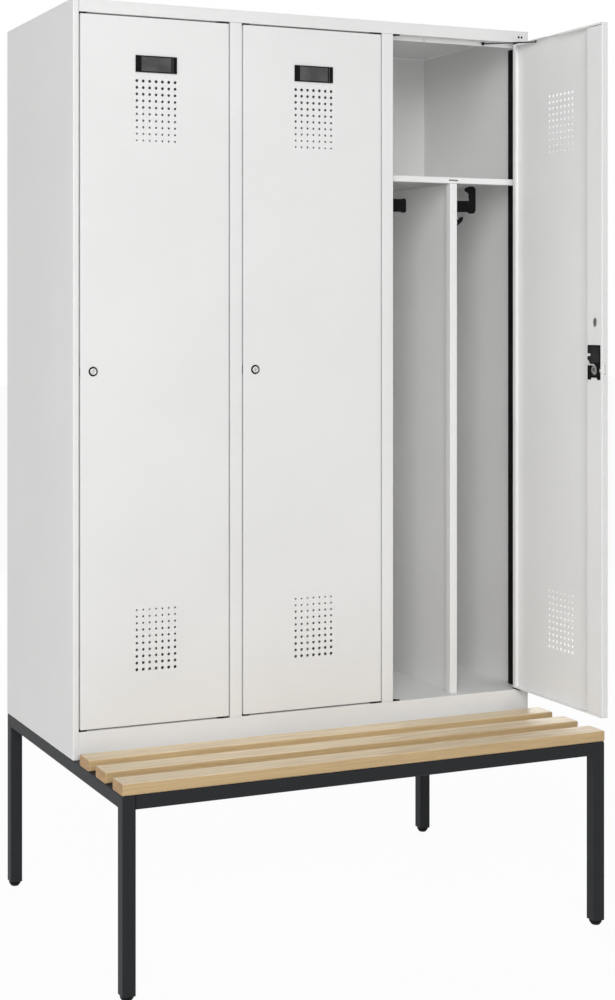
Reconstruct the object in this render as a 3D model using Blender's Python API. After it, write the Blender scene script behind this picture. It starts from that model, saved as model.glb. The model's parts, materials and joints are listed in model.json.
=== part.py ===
"""Locker with bench: three steel compartments on a square-tube frame with a slatted seat.

Metres, +Z up. The origin is on the floor, under the middle of the footprint with the right
door standing open. X runs along the fronts, +Y runs from the front to the back.
"""

import math

import bmesh
import bpy
from mathutils import Matrix, Vector

# Overall sizes
WIDTH = 1.200
BODY_DEPTH = 0.500
BODY_HEIGHT = 1.700
FRAME_HEIGHT = 0.427
BENCH_REACH = 0.311
COMPARTMENTS = 3

# Gaps between pieces: a seam is a touching joint, a running gap lets a piece move
SEAM = 0.0003
RUNNING_GAP = 0.0003
OVERRUN = 0.002

# Sheet metal of the body
SHEET = 0.001
END_STILE = 0.014
STILE = 0.030
STILE_RETURN = 0.020
SILL_HEIGHT = 0.062
SILL_RETURN = 0.030
TOP_RAIL_HEIGHT = 0.029
TOP_RAIL_FLANGE = 0.027
TOP_RAIL_LIP = 0.0095

# Hat shelf
HAT_SPACE_HEIGHT = 0.338
SHELF_EDGE = 0.015
SHELF_RETURN = 0.012
SHELF_SETBACK = 0.025
SHELF_SLOT_WIDTH = 0.026
SHELF_SLOT_HEIGHT = 0.0036

# Divider between the two hanging spaces
HEM = 0.020
HEM_SLIT = 0.0006

# Door
DOOR_GAP = 0.0035
DOOR_THICKNESS = 0.016
PIVOT_FROM_EDGE = 0.008
PIVOT_FROM_FACE = 0.0045
PIVOT_PIN_RADIUS = 0.003
PIVOT_PIN_LENGTH = 0.0065
HINGE_LIP = 0.012
STIFFENER_WIDTH = 0.058
FINGER_HOLE_WIDTH = 0.014
FINGER_HOLE_HEIGHT = 0.022
FINGER_HOLE_FROM_EDGE = 0.0275
FINGER_HOLE_ABOVE_LOCK = 0.1095
DOOR_OPEN_ANGLE = math.radians(90)

# Ventilation holes: one field near the top and one near the bottom of each door
VENT_COLUMNS = 7
VENT_ROWS = 10
VENT_PITCH_X = 0.0156
VENT_PITCH_Z = 0.015
VENT_SMALL_RADIUS = 0.0021
VENT_LARGE_RADIUS = 0.0035
VENT_SIDES = 6
VENT_BELOW_DOOR_TOP = 0.1441
VENT_ABOVE_DOOR_BOTTOM = 0.1253

# Label holder
LABEL_WIDTH = 0.101
LABEL_HEIGHT = 0.038
LABEL_THICKNESS = 0.003
LABEL_BELOW_DOOR_TOP = 0.0865
LABEL_RIM = 0.004
LABEL_POCKET = 0.0012

# Lock
LOCK_FROM_EDGE = 0.030
CASE_WIDTH = 0.047
CASE_BELOW_LOCK = 0.023
CASE_ABOVE_LOCK = 0.057
CASE_PROUD = 0.0015
CASE_NOTCH_WIDTH = 0.020
CASE_NOTCH_HEIGHT = 0.005
COLLAR_RADIUS = 0.0107
COLLAR_PROUD = 0.0015
BARREL_RADIUS = 0.0075
BARREL_PROUD = 0.0024
CAM_RADIUS = 0.0100
CAM_THICKNESS = 0.0025
KEYHOLE_WIDTH = 0.0014
KEYHOLE_HEIGHT = 0.0070
KEYHOLE_DEPTH = 0.0040
BOLT_HEIGHT = 0.020
BOLT_THICKNESS = 0.005
BOLT_LENGTH = 0.0205
BOLT_SETBACK = 0.008
STRIKE_CLEARANCE = 0.002

# Door stay: a rod on the door's top flange whose ball end runs under a slot in the top rail
STAY_LENGTH = 0.1316
STAY_RADIUS = 0.0015
STAY_BALL_RADIUS = 0.0040
STAY_FROM_PIVOT = 0.079
STAY_INSET = 0.0070
STAY_DROP = 0.0050
STAY_STEM_RISE = 0.0008
STAY_SLOT_SETBACK = 0.022
STAY_SLOT_WIDTH = 0.0024
STAY_SLOT_SPARE = 0.004
STAY_NOTCH_DEPTH = 0.004

# Plastic cover on the hinge side, behind the door
COVER_THICKNESS = 0.0015
COVER_DEPTH = 0.069
COVER_END_GAP = 0.0085

# Plastic bushes on the door's corners, round the pivot pins
BUSH_LENGTH = 0.028
BUSH_THICKNESS = DOOR_GAP - SEAM - 2 * RUNNING_GAP

# Coat hook on the left wall of each hanging space: heights from its lower end
HOOK_SETBACK = 0.060
HOOK_WEB = 0.008
HOOK_BASE_WIDTH = 0.022
HOOK_BASE_HEIGHT = 0.078
HOOK_BASE_THICKNESS = 0.003
HOOK_HEIGHT = 0.104
HOOK_REACH = 0.0825
HOOK_TOP_GAP = 0.003

# Bench frame, slats and feet
TUBE = 0.030
TUBE_WALL = 0.002
SLAT_WIDTH = 0.060
SLAT_THICKNESS = 0.025
SLAT_COUNT = 3
SLAT_ROUNDING = 0.004
SLAT_SEGMENTS = 2
FOOT_HEIGHT = 0.012
FOOT_PLUG_HEIGHT = 0.014
FOOT_RADIUS = 0.0145
FOOT_SOLE_RADIUS = 0.0095

# Sides of the round pieces
PIN_SIDES = 12
ROD_SIDES = 8
FOOT_SIDES = 16
BARREL_SIDES = 20
BALL_RINGS = 6

# Places worked out from the sizes above
OPENING = (WIDTH - 2 * END_STILE - (COMPARTMENTS - 1) * STILE) / COMPARTMENTS
DOOR_WIDTH = OPENING - 2 * DOOR_GAP
DOOR_REACH = DOOR_WIDTH - PIVOT_FROM_EDGE - PIVOT_FROM_FACE
FOOTPRINT_FRONT = max(BENCH_REACH, DOOR_REACH)
FRONT = (FOOTPRINT_FRONT - BODY_DEPTH) / 2
BACK = FRONT + BODY_DEPTH
LEFT = -WIDTH / 2
RIGHT = WIDTH / 2
BODY_BOTTOM = FRAME_HEIGHT + SEAM
TOP = FRAME_HEIGHT + BODY_HEIGHT
OPENING_BOTTOM = FRAME_HEIGHT + SILL_HEIGHT
OPENING_TOP = TOP - TOP_RAIL_HEIGHT
DOOR_BOTTOM = OPENING_BOTTOM + DOOR_GAP
DOOR_TOP = OPENING_TOP - DOOR_GAP
INNER_BACK = BACK - SHEET - SEAM
SHELF_TOP = OPENING_TOP - HAT_SPACE_HEIGHT
SHELF_BOTTOM = SHELF_TOP - SHELF_EDGE
DOOR_FACE = -PIVOT_FROM_FACE
DOOR_INSIDE = DOOR_FACE + DOOR_THICKNESS
COVER_BACK = FRONT + COVER_DEPTH
LOCK_HEIGHT = (DOOR_BOTTOM + DOOR_TOP) / 2

NAMES = ("left", "middle", "right")


class Compartment:
    """Places of one compartment: its opening, its walls and its door's pivot."""

    def __init__(self, index):
        self.index = index
        self.name = NAMES[index]
        first = index == 0
        last = index == COMPARTMENTS - 1
        self.open_left = LEFT + END_STILE + index * (OPENING + STILE)
        self.open_right = self.open_left + OPENING
        self.wall_left = LEFT + SHEET if first else self.open_left - (STILE - SHEET) / 2
        self.wall_right = RIGHT - SHEET if last else self.open_right + (STILE - SHEET) / 2
        self.middle = (self.wall_left + self.wall_right) / 2
        self.pivot = Vector(
            (self.open_right - DOOR_GAP - PIVOT_FROM_EDGE, FRONT + PIVOT_FROM_FACE, 0)
        )
        self.lock_edge = PIVOT_FROM_EDGE - DOOR_WIDTH
        self.angle = DOOR_OPEN_ANGLE if last else 0.0


def clear_scene():
    for obj in list(bpy.data.objects):
        bpy.data.objects.remove(obj)


def finish(name, colour, metallic, roughness):
    """A Principled material for one sub-part."""
    material = bpy.data.materials.new(name)
    material.use_nodes = True
    shader = material.node_tree.nodes["Principled BSDF"]
    shader.inputs["Base Color"].default_value = (*colour, 1)
    shader.inputs["Metallic"].default_value = metallic
    shader.inputs["Roughness"].default_value = roughness
    material.diffuse_color = (*colour, 1)
    return material


def light_grey_steel(name):
    return finish(name, (0.74, 0.74, 0.73), 0.1, 0.45)


def anthracite_steel(name):
    return finish(name, (0.03, 0.032, 0.035), 0.2, 0.5)


def black_steel(name):
    return finish(name, (0.02, 0.02, 0.021), 0.2, 0.4)


def black_plastic(name):
    return finish(name, (0.015, 0.015, 0.016), 0.0, 0.5)


def nickel(name):
    return finish(name, (0.6, 0.6, 0.6), 1.0, 0.25)


def pale_wood(name):
    return finish(name, (0.75, 0.6, 0.42), 0.0, 0.6)


def make_object(name, bm, look, parent=None):
    """Turn a bmesh into a named object with a material of its own."""
    bmesh.ops.recalc_face_normals(bm, faces=bm.faces)
    mesh = bpy.data.meshes.new(name)
    bm.to_mesh(mesh)
    bm.free()
    obj = bpy.data.objects.new(name, mesh)
    bpy.context.scene.collection.objects.link(obj)
    if look is not None:
        mesh.materials.append(look(name + "_finish"))
    if parent is not None:
        obj.parent = parent
    return obj


def placed(axis, first, second, along):
    """A point from its two outline coordinates and its place along the axis."""
    if axis == "X":
        return Vector((along, first, second))
    if axis == "Y":
        return Vector((first, along, second))
    return Vector((first, second, along))


def prism(outline, axis, low, high):
    """Extrude a closed outline along an axis, from low to high."""
    bm = bmesh.new()
    verts = [bm.verts.new(placed(axis, a, b, low)) for a, b in outline]
    face = bm.faces.new(verts)
    moved = bmesh.ops.extrude_face_region(bm, geom=[face])
    shift = placed(axis, 0, 0, high - low)
    top = [item for item in moved["geom"] if isinstance(item, bmesh.types.BMVert)]
    bmesh.ops.translate(bm, vec=shift, verts=top)
    return bm


def block(low, high):
    """A box between two corners."""
    outline = ((low[0], low[1]), (high[0], low[1]), (high[0], high[1]), (low[0], high[1]))
    return prism(outline, "Z", low[2], high[2])


def folded(path, thickness):
    """The closed outline of a bent sheet: the path and the same path offset to its left."""
    points = [Vector(point) for point in path]
    offset = []
    for i, point in enumerate(points):
        normals = []
        if i > 0:
            step = (point - points[i - 1]).normalized()
            normals.append(Vector((-step.y, step.x)))
        if i < len(points) - 1:
            step = (points[i + 1] - point).normalized()
            normals.append(Vector((-step.y, step.x)))
        bisector = sum(normals, Vector((0, 0)))
        bisector.normalize()
        offset.append(point + bisector * (thickness / bisector.dot(normals[0])))
    return [tuple(p) for p in points] + [tuple(p) for p in reversed(offset)]


def circle(radius, sides, centre=(0.0, 0.0), turn=0.0):
    """Outline of a regular polygon round a centre."""
    steps = (turn + 2 * math.pi * i / sides for i in range(sides))
    return [(centre[0] + radius * math.cos(a), centre[1] + radius * math.sin(a)) for a in steps]


def turned(profile, sides):
    """Turn a profile of (radius, height) points, bottom to top, about the Z axis."""
    bm = bmesh.new()
    rings = []
    for radius, height in profile:
        if radius == 0:
            rings.append([bm.verts.new((0, 0, height))])
            continue
        rings.append([bm.verts.new((x, y, height)) for x, y in circle(radius, sides)])
    for lower, upper in zip(rings, rings[1:]):
        for i in range(sides):
            j = (i + 1) % sides
            corners = [lower[i % len(lower)], lower[j % len(lower)]]
            corners += [upper[j % len(upper)], upper[i % len(upper)]]
            bm.faces.new(list(dict.fromkeys(corners)))
    for ring in (rings[0], rings[-1]):
        if len(ring) > 1:
            bm.faces.new(ring)
    return bm


def bar(start, end, radius, sides):
    """A straight round bar between two points."""
    direction = end - start
    bm = prism(circle(radius, sides), "Z", 0, direction.length)
    turn = direction.to_track_quat("Z", "Y").to_matrix().to_4x4()
    bmesh.ops.transform(bm, matrix=Matrix.Translation(start) @ turn, verts=bm.verts)
    return bm


def boolean(obj, bm, operation):
    """Add a shape to an object, or cut one out of it."""
    tool = make_object("tool", bm, None)
    modifier = obj.modifiers.new(operation, "BOOLEAN")
    modifier.operation = operation
    modifier.object = tool
    graph = bpy.context.evaluated_depsgraph_get()
    shaped = bpy.data.meshes.new_from_object(obj.evaluated_get(graph))
    obj.modifiers.remove(modifier)
    worn = obj.data
    obj.data = shaped
    shaped.name = worn.name + "_shaped"
    bpy.data.meshes.remove(worn)
    spare = tool.data
    bpy.data.objects.remove(tool)
    bpy.data.meshes.remove(spare)


def build(name, look, first, add=(), cut=(), parent=None):
    """An object from a first shape, shapes added to it and shapes cut out of it."""
    obj = make_object(name, first, look)
    for bm in add:
        boolean(obj, bm, "UNION")
    for bm in cut:
        boolean(obj, bm, "DIFFERENCE")
    if parent is not None:
        obj.parent = parent
    return obj


def shade_round(obj):
    """Smooth the round faces and keep the crisp edges."""
    obj.data.shade_smooth()
    obj.data.set_sharp_from_angle(angle=math.radians(35))


def strike_slot(edge):
    """Cutter for the lock bolt's slot in a stile's return, at the opening's left edge."""
    middle = FRONT + BOLT_SETBACK
    half = BOLT_THICKNESS / 2 + STRIKE_CLEARANCE
    rise = BOLT_HEIGHT / 2 + STRIKE_CLEARANCE
    low = (edge - SHEET - OVERRUN, middle - half, LOCK_HEIGHT - rise)
    high = (edge + OVERRUN, middle + half, LOCK_HEIGHT + rise)
    return block(low, high)


def build_side_panels(bays):
    """The two side panels, each folded round the front into an end stile."""
    back = (LEFT, BACK)
    corner = (LEFT, FRONT)
    stile = (LEFT + END_STILE, FRONT)
    inner = (LEFT + END_STILE, FRONT + STILE_RETURN)
    left_outline = folded((back, corner, stile, inner), SHEET)
    right_outline = [(-x, y) for x, y in left_outline]
    top = TOP - SHEET - SEAM
    build(
        "left_side_panel",
        light_grey_steel,
        prism(left_outline, "Z", BODY_BOTTOM, top),
        cut=[strike_slot(bays[0].open_left)],
    )
    build("right_side_panel", light_grey_steel, prism(right_outline, "Z", BODY_BOTTOM, top))


def build_partition(name, middle):
    """An upright wall between two compartments, with the stile on its front edge."""
    low = OPENING_BOTTOM + SEAM
    high = OPENING_TOP - SEAM
    half = STILE / 2
    path = (
        (middle - half, FRONT + STILE_RETURN),
        (middle - half, FRONT),
        (middle + half, FRONT),
        (middle + half, FRONT + STILE_RETURN),
    )
    stile = prism(folded(path, SHEET), "Z", low, high)
    front = FRONT + SHEET / 2
    behind_rail = FRONT + TOP_RAIL_FLANGE + SHEET + SEAM
    ceiling = TOP - SHEET - SEAM
    sheet_outline = (
        (front, low),
        (INNER_BACK, low),
        (INNER_BACK, ceiling),
        (behind_rail, ceiling),
        (behind_rail, high),
        (front, high),
    )
    sheet = prism(sheet_outline, "X", middle - SHEET / 2, middle + SHEET / 2)
    build(name, light_grey_steel, stile, add=[sheet], cut=[strike_slot(middle + half)])


def pin_hole(x, low, high):
    centre = (x, FRONT + PIVOT_FROM_FACE)
    return prism(circle(PIVOT_PIN_RADIUS + RUNNING_GAP, PIN_SIDES, centre), "Z", low, high)


def build_top_panel(bays):
    """The lid, folded down into the top rail, in again under it and down into a lip."""
    behind = FRONT + TOP_RAIL_FLANGE
    lip_edge = OPENING_TOP - TOP_RAIL_LIP
    path = (
        (behind, lip_edge),
        (behind, OPENING_TOP),
        (FRONT, OPENING_TOP),
        (FRONT, TOP),
        (behind, TOP),
    )
    # The path runs clockwise seen along X, so the sheet lies on its right
    rail = prism(folded(path, -SHEET), "X", LEFT + END_STILE + SEAM, RIGHT - END_STILE - SEAM)
    lid = block((LEFT, FRONT, TOP - SHEET), (RIGHT, BACK, TOP))
    cuts = []
    for bay in bays:
        below = OPENING_TOP - OVERRUN
        above = OPENING_TOP + SHEET + OVERRUN
        cuts.append(pin_hole(bay.pivot.x, below, above))
        row = FRONT + STAY_SLOT_SETBACK
        closed, opened = stay_slot_ends(bay)
        low = (closed - STAY_SLOT_SPARE, row - STAY_SLOT_WIDTH / 2, below)
        high = (opened + STAY_SLOT_SPARE, row + STAY_SLOT_WIDTH / 2, above)
        cuts.append(block(low, high))
    # The lip is notched over the partitions and their stiles
    for bay in bays[1:]:
        low = (bay.open_left - STILE - SEAM, behind - OVERRUN, lip_edge - OVERRUN)
        high = (bay.open_left + SEAM, behind + SHEET + OVERRUN, OPENING_TOP + SHEET + OVERRUN)
        cuts.append(block(low, high))
    build("top_panel", light_grey_steel, rail, add=[lid], cut=cuts)


def build_floor_tray(bays):
    """The floor of the compartments, folded down in front into the sill."""
    path = (
        (FRONT + SILL_RETURN, BODY_BOTTOM),
        (FRONT, BODY_BOTTOM),
        (FRONT, OPENING_BOTTOM),
        (INNER_BACK, OPENING_BOTTOM),
    )
    inner_left = LEFT + END_STILE + SEAM
    inner_right = RIGHT - END_STILE - SEAM
    tray = prism(folded(path, -SHEET), "X", inner_left, inner_right)
    behind_stile = FRONT + STILE_RETURN + SEAM
    low = OPENING_BOTTOM - SHEET
    wings = [
        block((LEFT + SHEET + SEAM, behind_stile, low), (inner_left + SHEET, INNER_BACK, OPENING_BOTTOM)),
        block((inner_right - SHEET, behind_stile, low), (RIGHT - SHEET - SEAM, INNER_BACK, OPENING_BOTTOM)),
    ]
    cuts = [pin_hole(bay.pivot.x, low - OVERRUN, OPENING_BOTTOM + OVERRUN) for bay in bays]
    build("floor_tray", light_grey_steel, tray, add=wings, cut=cuts)


def build_back_panel():
    low = (LEFT + SHEET + SEAM, BACK - SHEET, BODY_BOTTOM)
    high = (RIGHT - SHEET - SEAM, BACK, TOP - SHEET - SEAM)
    build("back_panel", light_grey_steel, block(low, high))


def build_shelf(bay):
    """Hat shelf with a folded front edge, notched round the hinge cover."""
    front = FRONT + SHELF_SETBACK
    path = (
        (front + SHELF_RETURN, SHELF_BOTTOM),
        (front, SHELF_BOTTOM),
        (front, SHELF_TOP),
        (INNER_BACK - SEAM, SHELF_TOP),
    )
    left = bay.wall_left + SEAM
    right = bay.open_right - SEAM
    body = prism(folded(path, -SHEET), "X", left, right)
    low = (right - SHEET, COVER_BACK + SEAM, SHELF_TOP - SHEET)
    high = (bay.wall_right - SEAM, INNER_BACK - SEAM, SHELF_TOP)
    half = SHELF_SLOT_WIDTH / 2
    middle = (SHELF_TOP - SHEET + SHELF_BOTTOM + SHEET) / 2
    slot_low = (bay.middle - half, front - OVERRUN, middle - SHELF_SLOT_HEIGHT / 2)
    slot_high = (bay.middle + half, front + SHEET + OVERRUN, middle + SHELF_SLOT_HEIGHT / 2)
    build(
        "hat_shelf_" + bay.name,
        light_grey_steel,
        body,
        add=[block(low, high)],
        cut=[block(slot_low, slot_high)],
    )


def build_divider(bay):
    """Upright wall between the two hanging spaces, with a square hem on its front edge."""
    x = bay.middle
    front = FRONT + SHELF_SETBACK
    back = front + HEM
    half = HEM / 2
    low = OPENING_BOTTOM + SEAM
    path = (
        (x, back),
        (x + half, back),
        (x + half, front),
        (x - half, front),
        (x - half, back),
        (x - SHEET / 2 - HEM_SLIT, back),
    )
    hem = prism(folded(path, -SHEET), "Z", low, SHELF_BOTTOM - SEAM)
    sheet_low = (x - SHEET / 2, back - SHEET, low)
    sheet_high = (x + SHEET / 2, INNER_BACK - SEAM, SHELF_TOP - SHEET - SEAM)
    build("divider_" + bay.name, light_grey_steel, hem, add=[block(sheet_low, sheet_high)])


def build_hook(number, wall, upright):
    """Double coat hook of moulded plastic: a base, a long arm and a short prong.

    The arm ends in an upright prong on the divider, and in a low flare on the wall.
    """
    top = SHELF_BOTTOM - HOOK_TOP_GAP
    low = top - HOOK_HEIGHT
    face = wall + SEAM
    base_out = face + HOOK_BASE_THICKNESS
    y = FRONT + HOOK_SETBACK
    base = block(
        (face, y - HOOK_BASE_WIDTH / 2, low - HOOK_BASE_THICKNESS),
        (base_out, y + HOOK_BASE_WIDTH / 2, low + HOOK_BASE_HEIGHT),
    )
    inner = HOOK_BASE_THICKNESS / 2 / HOOK_REACH
    # Outlines in shares of the hook's reach and height
    upright_arm = (
        (inner, 0.38), (0.75, 0.38), (0.82, 0.345), (0.95, 0.345), (1.0, 0.41), (1.0, 0.94),
        (0.935, 1.0), (0.80, 1.0), (0.665, 0.945), (0.655, 0.885), (0.80, 0.81), (0.815, 0.64),
        (inner, 0.64),
    )
    low_arm = (
        (inner, 0.345), (0.86, 0.345), (0.91, 0.325), (0.965, 0.325), (1.0, 0.365), (1.0, 0.62),
        (0.965, 0.66), (0.91, 0.66), (0.86, 0.645), (inner, 0.64),
    )
    arm_shares = upright_arm if upright else low_arm
    prong_shares = (
        (inner, 0.02), (0.36, 0.04), (0.53, 0.155), (0.57, 0.25), (0.51, 0.26), (0.40, 0.175),
        (0.29, 0.12), (inner, 0.14),
    )
    webs = []
    for shares in (arm_shares, prong_shares):
        outline = [(face + r * HOOK_REACH, low + h * HOOK_HEIGHT) for r, h in shares]
        webs.append(prism(outline, "Y", y - HOOK_WEB / 2, y + HOOK_WEB / 2))
    build(f"coat_hook_{number}", black_plastic, base, add=webs)


def build_hinge_cover(bay):
    """Angle of black plastic that closes the stile's hollow on the hinge side."""
    path = (
        (bay.open_right, FRONT + STILE_RETURN + SEAM),
        (bay.open_right, COVER_BACK),
        (bay.wall_right - SEAM, COVER_BACK),
    )
    outline = folded(path, -COVER_THICKNESS)
    top = OPENING_TOP - COVER_END_GAP
    build("hinge_cover_" + bay.name, black_plastic, prism(outline, "Z", OPENING_BOTTOM + SEAM, top))


def build_bushes(bay, door):
    """Flat plastic bushes on the door's hinge corners, each with a pivot pin through it."""
    left = PIVOT_FROM_EDGE - BUSH_LENGTH
    reach = PIVOT_PIN_LENGTH + OVERRUN
    for end, low in (("top", DOOR_TOP + SEAM), ("bottom", DOOR_BOTTOM - SEAM - BUSH_THICKNESS)):
        plate = block((left, DOOR_FACE, low), (PIVOT_FROM_EDGE, DOOR_INSIDE, low + BUSH_THICKNESS))
        hole = prism(circle(PIVOT_PIN_RADIUS + RUNNING_GAP, PIN_SIDES), "Z", low - reach, low + reach)
        name = f"hinge_bush_{end}_{bay.name}"
        build(name, black_plastic, plate, cut=[hole], parent=door)


def vent_field(bay, bottom, largest_at_top):
    """Cutters for one field of ventilation holes, whose size changes from row to row."""
    cutters = bmesh.new()
    middle = bay.lock_edge + DOOR_WIDTH / 2
    half = VENT_PITCH_X * (VENT_COLUMNS - 1) / 2
    for row in range(VENT_ROWS):
        share = row / (VENT_ROWS - 1)
        if not largest_at_top:
            share = 1 - share
        radius = VENT_SMALL_RADIUS + (VENT_LARGE_RADIUS - VENT_SMALL_RADIUS) * share
        for column in range(VENT_COLUMNS):
            x = middle - half + column * VENT_PITCH_X
            z = bottom + row * VENT_PITCH_Z
            outline = circle(radius, VENT_SIDES, (x, z))
            hole = prism(outline, "Y", DOOR_FACE - OVERRUN, DOOR_FACE + SHEET + OVERRUN)
            bmesh.ops.recalc_face_normals(hole, faces=hole.faces)
            mesh = bpy.data.meshes.new("hole")
            hole.to_mesh(mesh)
            hole.free()
            cutters.from_mesh(mesh)
            bpy.data.meshes.remove(mesh)
    return cutters


def build_door(bay):
    """Door pan with a stiffener on the lock side; its origin is on the pivot's axis."""
    edge = PIVOT_FROM_EDGE
    lock = bay.lock_edge
    stiffener = lock + STIFFENER_WIDTH
    skin = DOOR_FACE + SHEET
    inside = DOOR_INSIDE - SHEET
    outside = DOOR_INSIDE + OVERRUN
    # The sheet is what stays of a block when the pan's and the stiffener's hollows are cut out
    body = block((lock, DOOR_FACE, DOOR_BOTTOM), (edge, DOOR_INSIDE, DOOR_TOP))
    pan_hollow = (
        (stiffener, skin),
        (edge - SHEET, skin),
        (edge - SHEET, inside),
        (edge - HINGE_LIP, inside),
        (edge - HINGE_LIP, outside),
        (stiffener, outside),
    )
    stiffener_hollow = (
        (lock + SHEET, skin),
        (stiffener - SHEET, skin),
        (stiffener - SHEET, inside),
        (lock + SHEET, inside),
    )
    pin = circle(PIVOT_PIN_RADIUS, PIN_SIDES)
    pins = [
        prism(pin, "Z", DOOR_TOP - SHEET / 2, DOOR_TOP + PIVOT_PIN_LENGTH),
        prism(pin, "Z", DOOR_BOTTOM - PIVOT_PIN_LENGTH, DOOR_BOTTOM + SHEET / 2),
    ]
    barrel_x = lock + LOCK_FROM_EDGE
    collar = circle(COLLAR_RADIUS + SEAM, BARREL_SIDES, (barrel_x, LOCK_HEIGHT))
    finger_x = lock + FINGER_HOLE_FROM_EDGE
    finger_centre = (finger_x, LOCK_HEIGHT + FINGER_HOLE_ABOVE_LOCK)
    narrowing = FINGER_HOLE_WIDTH / FINGER_HOLE_HEIGHT
    finger_round = circle(FINGER_HOLE_HEIGHT / 2, BARREL_SIDES, finger_centre)
    finger = [(finger_x + (x - finger_x) * narrowing, z) for x, z in finger_round]
    half_case = CASE_WIDTH / 2 + SEAM
    bolt_y = DOOR_FACE + BOLT_SETBACK
    bolt_half = BOLT_THICKNESS / 2 + RUNNING_GAP
    bolt_rise = BOLT_HEIGHT / 2 + RUNNING_GAP
    stay = (-STAY_FROM_PIVOT, DOOR_FACE + STAY_INSET)
    # The stay crosses the top flange's edge between these shares of its length
    notch_left = -STAY_FROM_PIVOT - 0.8 * STAY_LENGTH
    notch_right = -STAY_FROM_PIVOT - 0.4 * STAY_LENGTH
    cuts = [
        prism(pan_hollow, "Z", DOOR_BOTTOM + SHEET, DOOR_TOP - SHEET),
        prism(stiffener_hollow, "Z", DOOR_BOTTOM + SHEET, DOOR_TOP - SHEET),
        vent_field(bay, DOOR_TOP - VENT_BELOW_DOOR_TOP - VENT_PITCH_Z * (VENT_ROWS - 1), True),
        vent_field(bay, DOOR_BOTTOM + VENT_ABOVE_DOOR_BOTTOM, False),
        prism(collar, "Y", DOOR_FACE - OVERRUN, DOOR_FACE + SHEET + OVERRUN),
        prism(finger, "Y", inside - OVERRUN, outside),
        block(
            (barrel_x - half_case, inside - OVERRUN, LOCK_HEIGHT - CASE_BELOW_LOCK - SEAM),
            (barrel_x + half_case, outside, LOCK_HEIGHT + CASE_ABOVE_LOCK + SEAM),
        ),
        block(
            (lock - OVERRUN, bolt_y - bolt_half, LOCK_HEIGHT - bolt_rise),
            (lock + SHEET + OVERRUN, bolt_y + bolt_half, LOCK_HEIGHT + bolt_rise),
        ),
        prism(
            circle(STAY_RADIUS + RUNNING_GAP, ROD_SIDES, stay),
            "Z",
            DOOR_TOP - SHEET - OVERRUN,
            DOOR_TOP + OVERRUN,
        ),
        block(
            (notch_left, DOOR_INSIDE - STAY_NOTCH_DEPTH, DOOR_TOP - SHEET - OVERRUN),
            (notch_right, DOOR_INSIDE + OVERRUN, DOOR_TOP + OVERRUN),
        ),
    ]
    door = build("door_" + bay.name, light_grey_steel, body, add=pins, cut=cuts)
    door.location = bay.pivot
    door.rotation_euler.z = bay.angle
    return door


def build_label_holder(bay, door):
    """Flat plastic holder with a shallow pocket for a name card."""
    middle = bay.lock_edge + DOOR_WIDTH / 2
    back = DOOR_FACE - SEAM
    face = back - LABEL_THICKNESS
    half = LABEL_WIDTH / 2
    top = DOOR_TOP - LABEL_BELOW_DOOR_TOP
    bottom = top - LABEL_HEIGHT
    body = block((middle - half, face, bottom), (middle + half, back, top))
    pocket = block(
        (middle - half + LABEL_RIM, face - OVERRUN, bottom + LABEL_RIM),
        (middle + half - LABEL_RIM, face + LABEL_POCKET, top - LABEL_RIM),
    )
    build("label_holder_" + bay.name, black_plastic, body, cut=[pocket], parent=door)


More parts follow.
